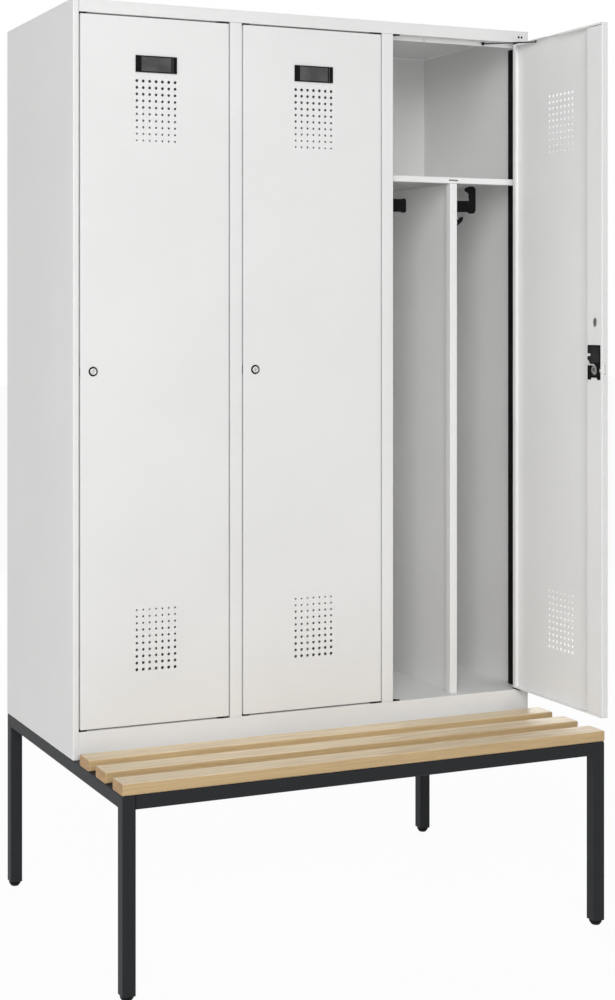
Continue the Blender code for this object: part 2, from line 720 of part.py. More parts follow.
def build_lock(bay, door):
    """Lock case with its collar, the barrel that the key turns and the sliding bolt."""
    lock = bay.lock_edge
    x = lock + LOCK_FROM_EDGE
    back = DOOR_INSIDE + CASE_PROUD
    front = DOOR_FACE + SHEET + SEAM
    half = CASE_WIDTH / 2
    low = LOCK_HEIGHT - CASE_BELOW_LOCK
    high = LOCK_HEIGHT + CASE_ABOVE_LOCK
    centre = (x, LOCK_HEIGHT)
    bolt_y = DOOR_FACE + BOLT_SETBACK
    bolt_end = lock + SEAM + BOLT_LENGTH
    bolt_half = BOLT_THICKNESS / 2
    bolt_rise = BOLT_HEIGHT / 2
    cam_front = back - CAM_THICKNESS - RUNNING_GAP
    body = block((x - half, front, low), (x + half, back, high))
    collar = prism(circle(COLLAR_RADIUS, BARREL_SIDES, centre), "Y", DOOR_FACE - COLLAR_PROUD, front + SHEET)
    cuts = [
        prism(
            circle(BARREL_RADIUS + RUNNING_GAP, BARREL_SIDES, centre),
            "Y",
            DOOR_FACE - COLLAR_PROUD - OVERRUN,
            back + OVERRUN,
        ),
        prism(
            circle(CAM_RADIUS + RUNNING_GAP, BARREL_SIDES, centre),
            "Y",
            cam_front - RUNNING_GAP,
            back + OVERRUN,
        ),
        block(
            (x - half - OVERRUN, bolt_y - bolt_half - RUNNING_GAP, LOCK_HEIGHT - bolt_rise - RUNNING_GAP),
            (bolt_end + RUNNING_GAP, bolt_y + bolt_half + RUNNING_GAP, LOCK_HEIGHT + bolt_rise + RUNNING_GAP),
        ),
        block(
            (x - CASE_NOTCH_WIDTH / 2, front - OVERRUN, low - OVERRUN),
            (x + CASE_NOTCH_WIDTH / 2, back + OVERRUN, low + CASE_NOTCH_HEIGHT),
        ),
    ]
    case = build("lock_case_" + bay.name, black_plastic, body, add=[collar], cut=cuts, parent=door)
    shade_round(case)

    # The barrel's origin is on its own axis, at the door's face
    face = -BARREL_PROUD
    shaft = prism(circle(BARREL_RADIUS, BARREL_SIDES), "Y", face, cam_front - DOOR_FACE + CAM_THICKNESS / 2)
    cam_low = cam_front - DOOR_FACE
    cam = prism(circle(CAM_RADIUS, BARREL_SIDES), "Y", cam_low, cam_low + CAM_THICKNESS)
    keyhole = block(
        (-KEYHOLE_WIDTH / 2, face - OVERRUN, -KEYHOLE_HEIGHT / 2),
        (KEYHOLE_WIDTH / 2, face + KEYHOLE_DEPTH, KEYHOLE_HEIGHT / 2),
    )
    barrel = build("lock_barrel_" + bay.name, nickel, shaft, add=[cam], cut=[keyhole], parent=door)
    barrel.location = (x, DOOR_FACE, LOCK_HEIGHT)
    shade_round(barrel)

    bolt = block(
        (lock + SEAM, bolt_y - bolt_half, LOCK_HEIGHT - bolt_rise),
        (bolt_end, bolt_y + bolt_half, LOCK_HEIGHT + bolt_rise),
    )
    build("lock_bolt_" + bay.name, nickel, bolt, parent=door)


def stay_rise():
    """How far the ball's row lies behind the stay's pivot when the door is shut."""
    return STAY_SLOT_SETBACK - STAY_INSET


def stay_slot_ends(bay):
    """Where the stay's ball stands along the slot with the door shut and open."""
    run = math.sqrt(STAY_LENGTH**2 - stay_rise() ** 2)
    closed = bay.pivot.x - STAY_FROM_PIVOT - run
    inset = STAY_INSET - PIVOT_FROM_FACE
    turn = Matrix.Rotation(DOOR_OPEN_ANGLE, 2)
    pivot = turn @ Vector((-STAY_FROM_PIVOT, inset))
    depth = STAY_SLOT_SETBACK - PIVOT_FROM_FACE - pivot.y
    opened = bay.pivot.x + pivot.x - math.sqrt(STAY_LENGTH**2 - depth**2)
    return closed, opened


def stay_turn(bay):
    """How far the stay turns on the door, from shut to open."""
    closed, opened = stay_slot_ends(bay)
    inset = STAY_INSET - PIVOT_FROM_FACE
    shut_angle = math.atan2(stay_rise(), closed - bay.pivot.x + STAY_FROM_PIVOT)
    turn = Matrix.Rotation(DOOR_OPEN_ANGLE, 2)
    pivot = turn @ Vector((-STAY_FROM_PIVOT, inset))
    depth = STAY_SLOT_SETBACK - PIVOT_FROM_FACE - pivot.y
    open_angle = math.atan2(depth, opened - bay.pivot.x - pivot.x)
    return open_angle - DOOR_OPEN_ANGLE - shut_angle


def build_stay(bay, door):
    """Stay rod with a pivot stem and a ball end; its origin is on its pivot's axis."""
    ball_height = OPENING_TOP - RUNNING_GAP - STAY_BALL_RADIUS
    arm_height = DOOR_TOP - STAY_DROP
    run = math.sqrt(STAY_LENGTH**2 - stay_rise() ** 2)
    start = Vector((0, 0, arm_height))
    end = Vector((-run, stay_rise(), ball_height))
    arm = bar(start, end, STAY_RADIUS, ROD_SIDES)
    stem_low = arm_height - STAY_RADIUS
    stem = prism(circle(STAY_RADIUS, ROD_SIDES), "Z", stem_low, DOOR_TOP + STAY_STEM_RISE)
    steps = [math.pi * i / BALL_RINGS - math.pi / 2 for i in range(BALL_RINGS + 1)]
    profile = [(STAY_BALL_RADIUS * math.cos(a), STAY_BALL_RADIUS * math.sin(a)) for a in steps]
    profile[0] = (0, -STAY_BALL_RADIUS)
    profile[-1] = (0, STAY_BALL_RADIUS)
    ball = turned(profile, PIN_SIDES)
    bmesh.ops.translate(ball, vec=end, verts=ball.verts)
    stay = build("stay_rod_" + bay.name, black_steel, arm, add=[stem, ball], parent=door)
    stay.location = (-STAY_FROM_PIVOT, DOOR_FACE + STAY_INSET, 0)
    if bay.angle:
        stay.rotation_euler.z = stay_turn(bay)
    shade_round(stay)


def build_end_frame(name, left):
    """Two legs and the side rail between them, one welded and hollow square tube."""
    front = FRONT - BENCH_REACH
    outer = (
        (front, FOOT_HEIGHT),
        (front + TUBE, FOOT_HEIGHT),
        (front + TUBE, FRAME_HEIGHT - TUBE),
        (BACK - TUBE, FRAME_HEIGHT - TUBE),
        (BACK - TUBE, FOOT_HEIGHT),
        (BACK, FOOT_HEIGHT),
        (BACK, FRAME_HEIGHT),
        (front, FRAME_HEIGHT),
    )
    low = FOOT_HEIGHT - OVERRUN
    bore = TUBE - TUBE_WALL
    inner = (
        (front + TUBE_WALL, low),
        (front + bore, low),
        (front + bore, FRAME_HEIGHT - bore),
        (BACK - bore, FRAME_HEIGHT - bore),
        (BACK - bore, low),
        (BACK - TUBE_WALL, low),
        (BACK - TUBE_WALL, FRAME_HEIGHT - TUBE_WALL),
        (front + TUBE_WALL, FRAME_HEIGHT - TUBE_WALL),
    )
    hollow = prism(inner, "X", left + TUBE_WALL, left + bore)
    build(name, anthracite_steel, prism(outer, "X", left, left + TUBE), cut=[hollow])


def build_rail(name, front):
    """A square-tube rail between the end frames."""
    left = LEFT + TUBE + SEAM
    right = RIGHT - TUBE - SEAM
    low = FRAME_HEIGHT - TUBE
    tube = block((left, front, low), (right, front + TUBE, FRAME_HEIGHT))
    hollow = block(
        (left - OVERRUN, front + TUBE_WALL, low + TUBE_WALL),
        (right + OVERRUN, front + TUBE - TUBE_WALL, FRAME_HEIGHT - TUBE_WALL),
    )
    build(name, anthracite_steel, tube, cut=[hollow])


def build_slats():
    """Wooden slats with rounded edges, spaced evenly in front of the body."""
    gap = (BENCH_REACH - SLAT_COUNT * SLAT_WIDTH) / SLAT_COUNT
    low = FRAME_HEIGHT + SEAM
    for i, name in enumerate(("front", "middle", "back")):
        front = FRONT - BENCH_REACH + i * (SLAT_WIDTH + gap)
        slat = build(
            "bench_slat_" + name,
            pale_wood,
            block((LEFT, front, low), (RIGHT, front + SLAT_WIDTH, low + SLAT_THICKNESS)),
        )
        bevel = slat.modifiers.new("rounding", "BEVEL")
        bevel.width = SLAT_ROUNDING
        bevel.segments = SLAT_SEGMENTS
        shade_round(slat)


def build_foot(name, x, y):
    """Plastic glide pushed into the end of a leg: a square plug over a tapered round sole."""
    top = FOOT_HEIGHT - SEAM
    plug = TUBE / 2 - TUBE_WALL - SEAM
    # Heights of the corners as shares of the visible height
    taper_shares = ((FOOT_SOLE_RADIUS, 0), (FOOT_RADIUS, 0.6), (FOOT_RADIUS, 1))
    glide = turned([(radius, share * top) for radius, share in taper_shares], FOOT_SIDES)
    bmesh.ops.translate(glide, vec=Vector((x, y, 0)), verts=glide.verts)
    core = block((x - plug, y - plug, top / 2), (x + plug, y + plug, top + FOOT_PLUG_HEIGHT))
    shade_round(build(name, black_plastic, glide, add=[core]))


def build_frame():
    build_end_frame("end_frame_left", LEFT)
    build_end_frame("end_frame_right", RIGHT - TUBE)
    build_rail("front_rail", FRONT - BENCH_REACH)
    build_rail("cross_rail", FRONT)
    build_rail("back_rail", BACK - TUBE)
    for side, x in (("left", LEFT + TUBE / 2), ("right", RIGHT - TUBE / 2)):
        build_foot("foot_front_" + side, x, FRONT - BENCH_REACH + TUBE / 2)
        build_foot("foot_back_" + side, x, BACK - TUBE / 2)


def build_bay(bay):
    """Everything that one compartment holds, and its door."""
    build_shelf(bay)
    build_divider(bay)
    build_hook(2 * bay.index + 1, bay.wall_left, upright=False)
    build_hook(2 * bay.index + 2, bay.middle + SHEET / 2, upright=True)
    build_hinge_cover(bay)
    door = build_door(bay)
    build_bushes(bay, door)
    build_label_holder(bay, door)
    build_lock(bay, door)
    build_stay(bay, door)


def main():
    clear_scene()
    bays = [Compartment(index) for index in range(COMPARTMENTS)]
    build_side_panels(bays)
    for left_bay, name in zip(bays[1:], ("left_partition", "right_partition")):
        build_partition(name, left_bay.open_left - STILE / 2)
    build_top_panel(bays)
    build_floor_tray(bays)
    build_back_panel()
    for bay in bays:
        build_bay(bay)
    build_frame()
    build_slats()


main()
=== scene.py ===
"""Looks of the locker with bench, laid out as a Blender add-on and run as a script.

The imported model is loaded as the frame. Each operator models one group of pieces over it, in metres,
with +Z up, +X along the fronts and +Y from the front to the back.
"""

import json
import math
from contextlib import contextmanager

import bmesh
import bpy
from bpy.props import FloatProperty, FloatVectorProperty, IntProperty, PointerProperty
from mathutils import Matrix, Vector


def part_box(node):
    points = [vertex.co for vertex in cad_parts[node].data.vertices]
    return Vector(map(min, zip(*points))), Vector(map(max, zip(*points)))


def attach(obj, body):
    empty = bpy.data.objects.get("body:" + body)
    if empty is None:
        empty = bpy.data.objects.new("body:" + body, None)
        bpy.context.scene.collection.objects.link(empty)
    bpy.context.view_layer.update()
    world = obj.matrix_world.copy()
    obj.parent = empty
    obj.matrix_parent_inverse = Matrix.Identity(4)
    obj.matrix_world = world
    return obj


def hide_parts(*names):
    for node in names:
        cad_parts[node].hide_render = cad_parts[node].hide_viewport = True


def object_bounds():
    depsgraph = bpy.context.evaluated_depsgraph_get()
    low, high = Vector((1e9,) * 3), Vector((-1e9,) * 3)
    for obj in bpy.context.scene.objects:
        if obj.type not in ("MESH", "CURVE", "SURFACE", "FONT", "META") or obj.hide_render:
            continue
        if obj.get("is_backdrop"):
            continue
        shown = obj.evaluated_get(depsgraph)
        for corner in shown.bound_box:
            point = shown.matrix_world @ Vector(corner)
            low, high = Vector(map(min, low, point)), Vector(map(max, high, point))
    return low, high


bl_info = {
    "name": "Locker with bench",
    "version": (1, 0, 0),
    "blender": (4, 5, 0),
    "location": "View3D > Sidebar > Locker",
    "description": "Dresses the locker with bench: folded steel, doors, locks, wooden seat and stage",
    "category": "Object",
}

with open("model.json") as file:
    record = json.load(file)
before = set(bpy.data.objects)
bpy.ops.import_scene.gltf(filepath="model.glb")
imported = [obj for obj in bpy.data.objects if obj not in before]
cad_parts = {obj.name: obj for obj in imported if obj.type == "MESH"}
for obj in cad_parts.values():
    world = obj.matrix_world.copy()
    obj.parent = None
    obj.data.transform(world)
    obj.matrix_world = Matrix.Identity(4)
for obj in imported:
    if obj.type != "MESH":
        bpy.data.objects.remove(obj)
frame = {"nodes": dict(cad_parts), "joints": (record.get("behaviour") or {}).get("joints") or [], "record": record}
CAD_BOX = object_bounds()

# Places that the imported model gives
SIDE_LOW, SIDE_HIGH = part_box("left_side_panel")
TOP_LOW, TOP_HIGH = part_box("top_panel")
TRAY_LOW, TRAY_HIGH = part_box("floor_tray")
BACK_LOW, BACK_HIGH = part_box("back_panel")
LEFT = SIDE_LOW.x
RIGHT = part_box("right_side_panel")[1].x
FRONT = SIDE_LOW.y
BACK = SIDE_HIGH.y
TOP = TOP_HIGH.z
# The top panel reaches down to the edge of the lip behind its rail
RAIL_LIP = 0.0095
OPENING_TOP = TOP_LOW.z + RAIL_LIP
OPENING_BOTTOM = TRAY_HIGH.z
SHEET = BACK_HIGH.y - BACK_LOW.y
SEAM = TRAY_LOW.x - LEFT - SHEET
END_STILE = SIDE_HIGH.x - LEFT
BETWEEN_STILES = (LEFT + END_STILE + SEAM, RIGHT - END_STILE - SEAM)
# How far a cutter reaches past what it cuts
OVERRUN = 0.002
# Two points nearer than this are the same point
SAME = 1e-5
AXES = {"X": Vector((1, 0, 0)), "Y": Vector((0, 1, 0)), "Z": Vector((0, 0, 1))}
PIVOTS = {joint["child"]: Vector(joint["pos_m"]) for joint in frame["joints"] if "pos_m" in joint}


def length(name, description, default):
    """A length setting with its default."""
    return FloatProperty(name=name, description=description, default=default, unit="LENGTH")


def colour(name, description, default):
    """A colour setting with its default."""
    return FloatVectorProperty(
        name=name, description=description, default=default, subtype="COLOR", min=0.0, max=1.0
    )


class LockerSizes(bpy.types.PropertyGroup):
    """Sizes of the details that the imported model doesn't give."""

    fold_radius: length("Fold radius", "Outer radius of the folds in the sheet", 0.0018)
    cut_edge: length("Cut edge", "Rounding of the sheet's coated cut edges", 0.0002)
    stile_return: length("Stile return", "Depth of the fold behind a stile", 0.020)
    sill_return: length("Sill return", "Depth of the fold under the sill", 0.030)
    rail_flange: length("Top rail flange", "Depth of the fold under the top rail", 0.027)
    shelf_return: length("Shelf return", "Depth of the fold under a shelf's edge", 0.012)
    hinge_lip: length("Hinge lip", "Width of the door's lip on the hinge side", 0.012)
    stiffener: length("Stiffener", "Width of the door's box on the lock side", 0.058)
    lip_relief: length("Lip relief", "From the door's ends to the ends of its lip", 0.004)
    stiffener_relief: length("Stiffener relief", "From the door's ends to the stiffener's", 0.006)
    pin_length: length("Pivot pin length", "Length of a pivot pin outside the door", 0.0065)
    stay_ball: length("Stay ball", "Radius of the ball on a stay rod", 0.004)
    tube_rounding: length("Tube rounding", "Outer corner radius of the square tube", 0.0028)
    slat_rounding: length("Slat rounding", "Rounding of the slats' long edges", 0.004)


class VentSizes(bpy.types.PropertyGroup):
    """The fields of round ventilation holes near the top and the bottom of a door."""

    columns: IntProperty(name="Columns", description="Holes in a row", default=7, min=1)
    rows: IntProperty(name="Rows", description="Rows in a field", default=10, min=2)
    pitch_x: length("Column pitch", "Distance across", 0.0156)
    pitch_z: length("Row pitch", "Distance down", 0.015)
    small: length("Small radius", "Innermost row's radius", 0.0021)
    large: length("Large radius", "Outermost row's radius", 0.0035)
    below_top: length("Below top", "From the door's top to the first row", 0.1441)
    above_bottom: length("Above bottom", "From the door's bottom to the last row", 0.1253)


class LockerColours(bpy.types.PropertyGroup):
    """Colours of the finishes."""

    steel: colour("Body", "Light grey powder coat of the body and the doors", (0.86, 0.86, 0.855))
    tube: colour("Frame", "Anthracite powder coat of the frame", (0.0190, 0.0202, 0.0226))
    plastic: colour("Plastic", "Black moulded plastic", (0.0035, 0.0035, 0.0037))
    # Near-black: painted shade of the deep hollow on the hinge side
    cover: colour("Hinge cover", "Dark strip on the hinge side", (0.006, 0.006, 0.006))
    case_cover: colour("Lock cover", "Dark grey cover on the lock case", (0.024, 0.024, 0.024))
    window: colour("Card window", "Tinted window of the card holder", (0.086, 0.086, 0.087))
    nickel: colour("Nickel", "Plated lock parts", (0.70, 0.69, 0.67))
    zinc: colour("Zinc", "Pale plated parts inside the lock", (0.86, 0.86, 0.85))
    wood_light: colour("Pale wood", "Wood between the grain lines", (0.94, 0.785, 0.54))
    wood_dark: colour("Grain", "The grain lines of the wood", (0.62, 0.425, 0.23))
    # Slat sides: the same wood as the tops, painted darker as shade on the upright faces
    shaded_wood_side: colour("Slat sides", "Wood on the slats' upright sides", (0.62, 0.44, 0.225))
    wood_end: colour("End grain", "The sawn ends of the slats", (0.50, 0.31, 0.15))


def sizes():
    return bpy.context.scene.locker_sizes


class Bay:
    """Places of one compartment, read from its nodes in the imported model."""

    def __init__(self, name, left_wall):
        self.name = name
        self.open_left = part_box(left_wall)[1].x
        self.open_right = self.box("hinge_cover")[0].x
        pivot = PIVOTS[self.node("door")]
        self.axis = Vector((pivot.x, pivot.y, 0))
        low, high = self.box("door")
        stands_open = high.y - low.y > high.x - low.x
        self.angle = math.radians(90) if stands_open else 0.0

    def node(self, piece):
        return f"{piece}_{self.name}"

    def box(self, piece):
        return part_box(self.node(piece))


BAYS = [
    Bay("left", "left_side_panel"),
    Bay("middle", "left_partition"),
    Bay("right", "right_partition"),
]


def on_door(piece):
    """A door piece's box with the door shut, measured from the door's pivot."""
    low, high = BAYS[0].box(piece)
    return low - BAYS[0].axis, high - BAYS[0].axis


def pivot_on_door(piece):
    """The pivot of a piece that turns on the shut door, measured from the door's pivot."""
    return PIVOTS[BAYS[0].node(piece)] - BAYS[0].axis


# Modelling


def select_only(*chosen):
    bpy.ops.object.select_all(action="DESELECT")
    for obj in chosen:
        obj.select_set(True)
    bpy.context.view_layer.objects.active = chosen[0]


@contextmanager
def editing(obj):
    """Edit mode on one object, with nothing selected in its mesh."""
    select_only(obj)
    bpy.ops.object.mode_set(mode="EDIT")
    bpy.ops.mesh.select_all(action="DESELECT")
    yield
    bpy.ops.object.mode_set(mode="OBJECT")


def pick(kind, test):
    """Select the vertices, edges or faces of the edited mesh that pass a test."""
    mesh = bpy.context.edit_object.data
    bpy.ops.mesh.select_mode(type=kind)
    bpy.ops.mesh.select_all(action="DESELECT")
    bm = bmesh.from_edit_mesh(mesh)
    for item in {"VERT": bm.verts, "EDGE": bm.edges, "FACE": bm.faces}[kind]:
        if test(item):
            item.select_set(True)
    bm.select_flush_mode()
    bmesh.update_edit_mesh(mesh)


def middle(edge):
    return (edge.verts[0].co + edge.verts[1].co) / 2


def near(value, target):
    return abs(value - target) < SAME


def folded(edge):
    """True for an edge where two flats meet at an angle."""
    return len(edge.link_faces) == 2 and edge.calc_face_angle() > math.radians(20)


def runs_along(edge):
    """True for an edge along X."""
    return abs(edge.verts[0].co.x - edge.verts[1].co.x) > SEAM


def pick_all():
    bpy.ops.mesh.select_all(action="SELECT")


def slice_all(point, normal):
    """Add edges to the whole edited mesh where a plane crosses it."""
    pick_all()
    bpy.ops.mesh.bisect(plane_co=point, plane_no=normal)


def pull(by):
    """Extrude what is selected."""
    bpy.ops.mesh.extrude_region_move(TRANSFORM_OT_translate={"value": by})


def pull_edge(point, *steps):
    """Extrude the edge whose middle is at a point, step after step."""
    pick("EDGE", lambda edge: (middle(edge) - point).length < SAME)
    for by in steps:
        pull(by)


def round_folds(radius, segments=3, test=folded):
    pick("EDGE", test)
    bpy.ops.mesh.bevel(offset=radius, segments=segments, affect="EDGES", clamp_overlap=True)


def apply_modifier(obj, kind, **settings):
    """Add a modifier with its settings and apply it."""
    modifier = obj.modifiers.new(kind.lower(), kind)
    for name, value in settings.items():
        setattr(modifier, name, value)
    select_only(obj)
    bpy.ops.object.modifier_apply(modifier=modifier.name)


def apply_place(obj):
    """Move an object's place, turn and scale into its mesh."""
    select_only(obj)
    bpy.ops.object.transform_apply(location=True, rotation=True, scale=True)


def placed(axis, first, second, along):
    """A point from its two outline coordinates and its place along the axis."""
    point = [first, second]
    point.insert("XYZ".index(axis), along)
    return Vector(point)


def baked(name):
    """The object just added, named, with its place, turn and scale moved into its mesh."""
    obj = bpy.context.object
    obj.name = name
    apply_place(obj)
    return obj


def plate(name, start, run, rise):
    """A flat plane from a corner and its two sides."""
    start, run, rise = Vector(start), Vector(run), Vector(rise)
    bpy.ops.mesh.primitive_plane_add(size=1)
    turn = Matrix((run, rise, run.cross(rise).normalized())).transposed().to_4x4()
    bpy.context.object.matrix_world = Matrix.Translation(start + (run + rise) / 2) @ turn
    return baked(name)


def block(name, low, high):
    """A box between two corners."""
    low, high = Vector(low), Vector(high)
    bpy.ops.mesh.primitive_cube_add(size=1, location=(low + high) / 2, scale=high - low)
    return baked(name)


def cylinder(name, start, end, radius, sides=24, tip=None):
    """A round bar or, with a tip radius, a taper between two points."""
    start, end = Vector(start), Vector(end)
    direction = end - start
    bpy.ops.mesh.primitive_cone_add(
        vertices=sides,
        radius1=radius,
        radius2=radius if tip is None else tip,
        depth=direction.length,
        location=(start + end) / 2,
        rotation=direction.to_track_quat("Z", "Y").to_euler(),
    )
    return baked(name)


def ball(centre, radius, sides):
    bpy.ops.mesh.primitive_uv_sphere_add(
        segments=sides, ring_count=sides // 2, radius=radius, location=centre
    )
    return baked("ball")


def join(*parts):
    """Make one object of several, under the first one's name."""
    select_only(*parts)
    bpy.ops.object.join()
    return parts[0]


def cut(obj, *cutters):
    """Cut shapes out of an object, and remove the cutters."""
    for cutter in cutters:
        apply_modifier(obj, "BOOLEAN", object=cutter, operation="DIFFERENCE")
        bpy.data.objects.remove(cutter)


def thicken(obj, thickness):
    """Give a plane its sheet thickness: behind its face, or in front of it when negative."""
    if thickness < 0:
        with editing(obj):
            pick_all()
            bpy.ops.mesh.flip_normals()
    apply_modifier(obj, "SOLIDIFY", thickness=abs(thickness), offset=-1, use_even_offset=True)


def soften(obj, width, segments=2, angle=50):
    """Round an object's sharp edges."""
    apply_modifier(
        obj,
        "BEVEL",
        width=width,
        segments=segments,
        limit_method="ANGLE",
        angle_limit=math.radians(angle),
        miter_outer="MITER_ARC",
    )


def folded_sheet(name, path, low, high, thickness):
    """An upright bent sheet: one flat is a plane, and each next flat is pulled from the last edge.

    The sheet lies to the left of its path, or to the right when the thickness is negative.
    """
    points = [placed("Z", a, b, low) for a, b in path]
    rise = AXES["Z"] * (high - low)
    obj = plate(name, points[0], points[1] - points[0], rise)
    with editing(obj):
        steps = [there - here for here, there in zip(points[1:], points[2:])]
        pull_edge(points[1] + rise / 2, *steps)
        round_folds(sizes().fold_radius)
    thicken(obj, thickness)
    return obj


def front_folded(name, start, right, back, span, *steps):
    """A level sheet from its front left corner: its front edge is folded on, step after step.

    Only what lies within the span of x is folded.
    """
    start = Vector(start)
    sheet = plate(name, start, (right - start.x, 0, 0), (0, back - start.y, 0))

    def at_fold(edge):
        return near(middle(edge).y, start.y) and span[0] < middle(edge).x < span[1]

    with editing(sheet):
        for x in span:
            if start.x < x < right:
                slice_all((x, start.y, start.z), (1, 0, 0))
        pick("EDGE", at_fold)
        for by in steps:
            pull(by)
        round_folds(sizes().fold_radius)
    thicken(sheet, SHEET)
    return sheet


def traced(name, outline, axis, low, high, rounding=0.0):
    """A flat shape: one corner is extruded round the outline, filled, rounded and pulled out."""
    points = [placed(axis, a, b, low) for a, b in outline]
    bpy.ops.mesh.primitive_plane_add(size=OVERRUN, location=points[0])
    obj = baked(name)
    with editing(obj):
        bpy.ops.mesh.select_mode(type="VERT")
        pick_all()
        bpy.ops.mesh.merge(type="CENTER")
        for here, there in zip(points, points[1:]):
            bpy.ops.mesh.extrude_vertices_move(TRANSFORM_OT_translate={"value": there - here})
        pick_all()
        bpy.ops.mesh.edge_face_add()
        if rounding:
            bpy.ops.mesh.bevel(offset=rounding, segments=3, affect="VERTICES", clamp_overlap=True)
        pick_all()
        pull(AXES[axis] * (high - low))
        pick_all()
        bpy.ops.mesh.normals_make_consistent(inside=False)
    return obj


def settle(obj, body, finish, *nodes):
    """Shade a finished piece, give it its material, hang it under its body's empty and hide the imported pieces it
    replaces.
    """
    select_only(obj)
    bpy.ops.object.shade_smooth_by_angle(angle=math.radians(35))
    apply_modifier(obj, "WEIGHTED_NORMAL", keep_sharp=True)
    obj.data.materials.clear()
    obj.data.materials.append(look(finish))
    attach(obj, body)
    if nodes:
        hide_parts(*nodes)


def settle_on_doors(pattern, name, piece, finish, *pieces, offset=None):
    """Copy what was modelled on the shut door to where each bay's door stands, and remove it.

    The copies ride on one piece of their bay and replace the others that are named.
    """
    for bay in BAYS:
        select_only(pattern)
        bpy.ops.object.duplicate(linked=False)
        twin = bpy.context.object
        twin.name = f"{name}_{bay.name}"
        place = Matrix.Translation(bay.axis) @ Matrix.Rotation(bay.angle, 4, "Z")
        twin.matrix_world = place @ offset(bay) if offset else place
        apply_place(twin)
        settle(twin, bay.node(piece), finish, *(bay.node(replaced) for replaced in pieces))
    bpy.data.objects.remove(pattern)


def finish_sheet(sheet, node):
    """Round a steel sheet's cut edges and settle it on the body."""
    soften(sheet, sizes().cut_edge)
    settle(sheet, "locker", "steel", node)


def dress(node, finish):
    """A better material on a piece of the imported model."""
    for slot in frame["nodes"][node].material_slots:
        slot.material = look(finish)


# Materials


def socket_name(keyword):
    """The shader socket that a keyword stands for."""
    return keyword.replace("_", " ").title().replace("Ior", "IOR")


class Value:
    """A node's output that Python's arithmetic works on: an expression adds its Math nodes."""

    def __init__(self, look, socket):
        self.look = look
        self.socket = socket

    def math(self, operation, *terms):
        return self.look.node("ShaderNodeMath", {"operation": operation}, dict(enumerate(terms)))

    def __add__(self, other):
        return self.math("ADD", self, other)

    __radd__ = __add__

    def __sub__(self, other):
        return self.math("SUBTRACT", self, other)

    def __rsub__(self, other):
        return self.math("SUBTRACT", other, self)

    def __mul__(self, other):
        return self.math("MULTIPLY", self, other)

    __rmul__ = __mul__

    def fraction(self):
        return self.math("FRACT", self)

    def above(self, low, high):
        """0 below low, 1 above high, smooth between them."""
        return self.look.node(
            "ShaderNodeMapRange", {"interpolation_type": "SMOOTHSTEP"}, {0: self, 1: low, 2: high}
        )


class Look:
    """A material under construction."""

    def __init__(self, name, **fixed):
        self.material = bpy.data.materials.new(name)
        self.material.use_nodes = True
        self.tree = self.material.node_tree
        self.shader = self.tree.nodes["Principled BSDF"]
        self.shade(**fixed)

    def put(self, node, socket, value):
        """Link a value to a node's input, or set it there."""
        if isinstance(value, Value):
            self.tree.links.new(value.socket, node.inputs[socket])
        elif node.inputs[socket].type == "RGBA":
            node.inputs[socket].default_value = (*value, 1)
        else:
            node.inputs[socket].default_value = value

    def node(self, kind, settings=None, inputs=None, output=0):
        """Add a node with its settings and its inputs, and give one of its outputs."""
        node = self.tree.nodes.new(kind)
        for name, value in (settings or {}).items():
            setattr(node, name, value)
        for socket, value in (inputs or {}).items():
            self.put(node, socket, value)
        return Value(self, node.outputs[output])

    def place(self, scale=(1, 1, 1)):
        """Object coordinates, stretched."""
        points = self.node("ShaderNodeTexCoord", output="Object")
        return self.node("ShaderNodeMapping", {}, {"Vector": points, "Scale": scale})

    def noise(self, place, scale, detail=2.0, roughness=0.5, distortion=0.0):
        inputs = {"Vector": place, "Scale": scale, "Detail": detail}
        inputs.update({"Roughness": roughness, "Distortion": distortion})
        return self.node("ShaderNodeTexNoise", {}, inputs, "Fac")

    def mix(self, share, first, second):
        """Blend two colours."""
        return self.node(
            "ShaderNodeMix", {"data_type": "RGBA"}, {0: share, 6: first, 7: second}, output=2
        )

    def shade(self, **values):
        """Feed the shader's sockets."""
        for keyword, value in values.items():
            self.put(self.shader, socket_name(keyword), value)

    def bump(self, height, distance):
        """Add the relief, which is the last step, and give the material."""
        inputs = {"Height": height, "Distance": distance}
        self.put(self.shader, "Normal", self.node("ShaderNodeBump", {}, inputs, "Normal"))
        return self.material


def tinted(tone, factor):
    """A colour made lighter or darker."""
    return tuple(min(1.0, channel * factor) for channel in tone)


def powder_coat(name, tone, roughness, grain, gloss=0.45):
    """Powder coat: a fine orange-peel skin, faint cloudiness and a satin gloss."""
    look = Look(name, specular_ior_level=gloss)
    space = look.place()
    cloud = look.noise(space, 3.0, 3.0)
    peel = look.noise(space, 420.0, 2.0)
    fine = look.noise(space, 1500.0, 1.0)
    base = look.mix(cloud.above(0.3, 0.7), tinted(tone, 0.975), tinted(tone, 1.01))
    speck = look.mix(fine.above(0.35, 0.75) * grain, base, tinted(tone, 1.6))
    look.shade(base_color=speck, roughness=roughness + (peel - 0.5) * 0.10 + (cloud - 0.5) * 0.06)
    return look.bump(peel * 0.7 + fine * 0.3, 0.00006)


def moulded_plastic(name, tone, roughness=0.45, gloss=0.09):
    """Moulded plastic with a fine eroded grain and uneven gloss."""
    look = Look(name, specular_ior_level=gloss)
    space = look.place()
    grain = look.noise(space, 1900.0, 3.0, 0.6)
    cloud = look.noise(space, 22.0, 2.0)
    look.shade(
        base_color=look.mix(cloud.above(0.3, 0.7), tinted(tone, 0.8), tinted(tone, 1.3)),
        roughness=roughness + (grain - 0.5) * 0.22 + (cloud - 0.5) * 0.12,
    )
    return look.bump(grain, 0.00005)


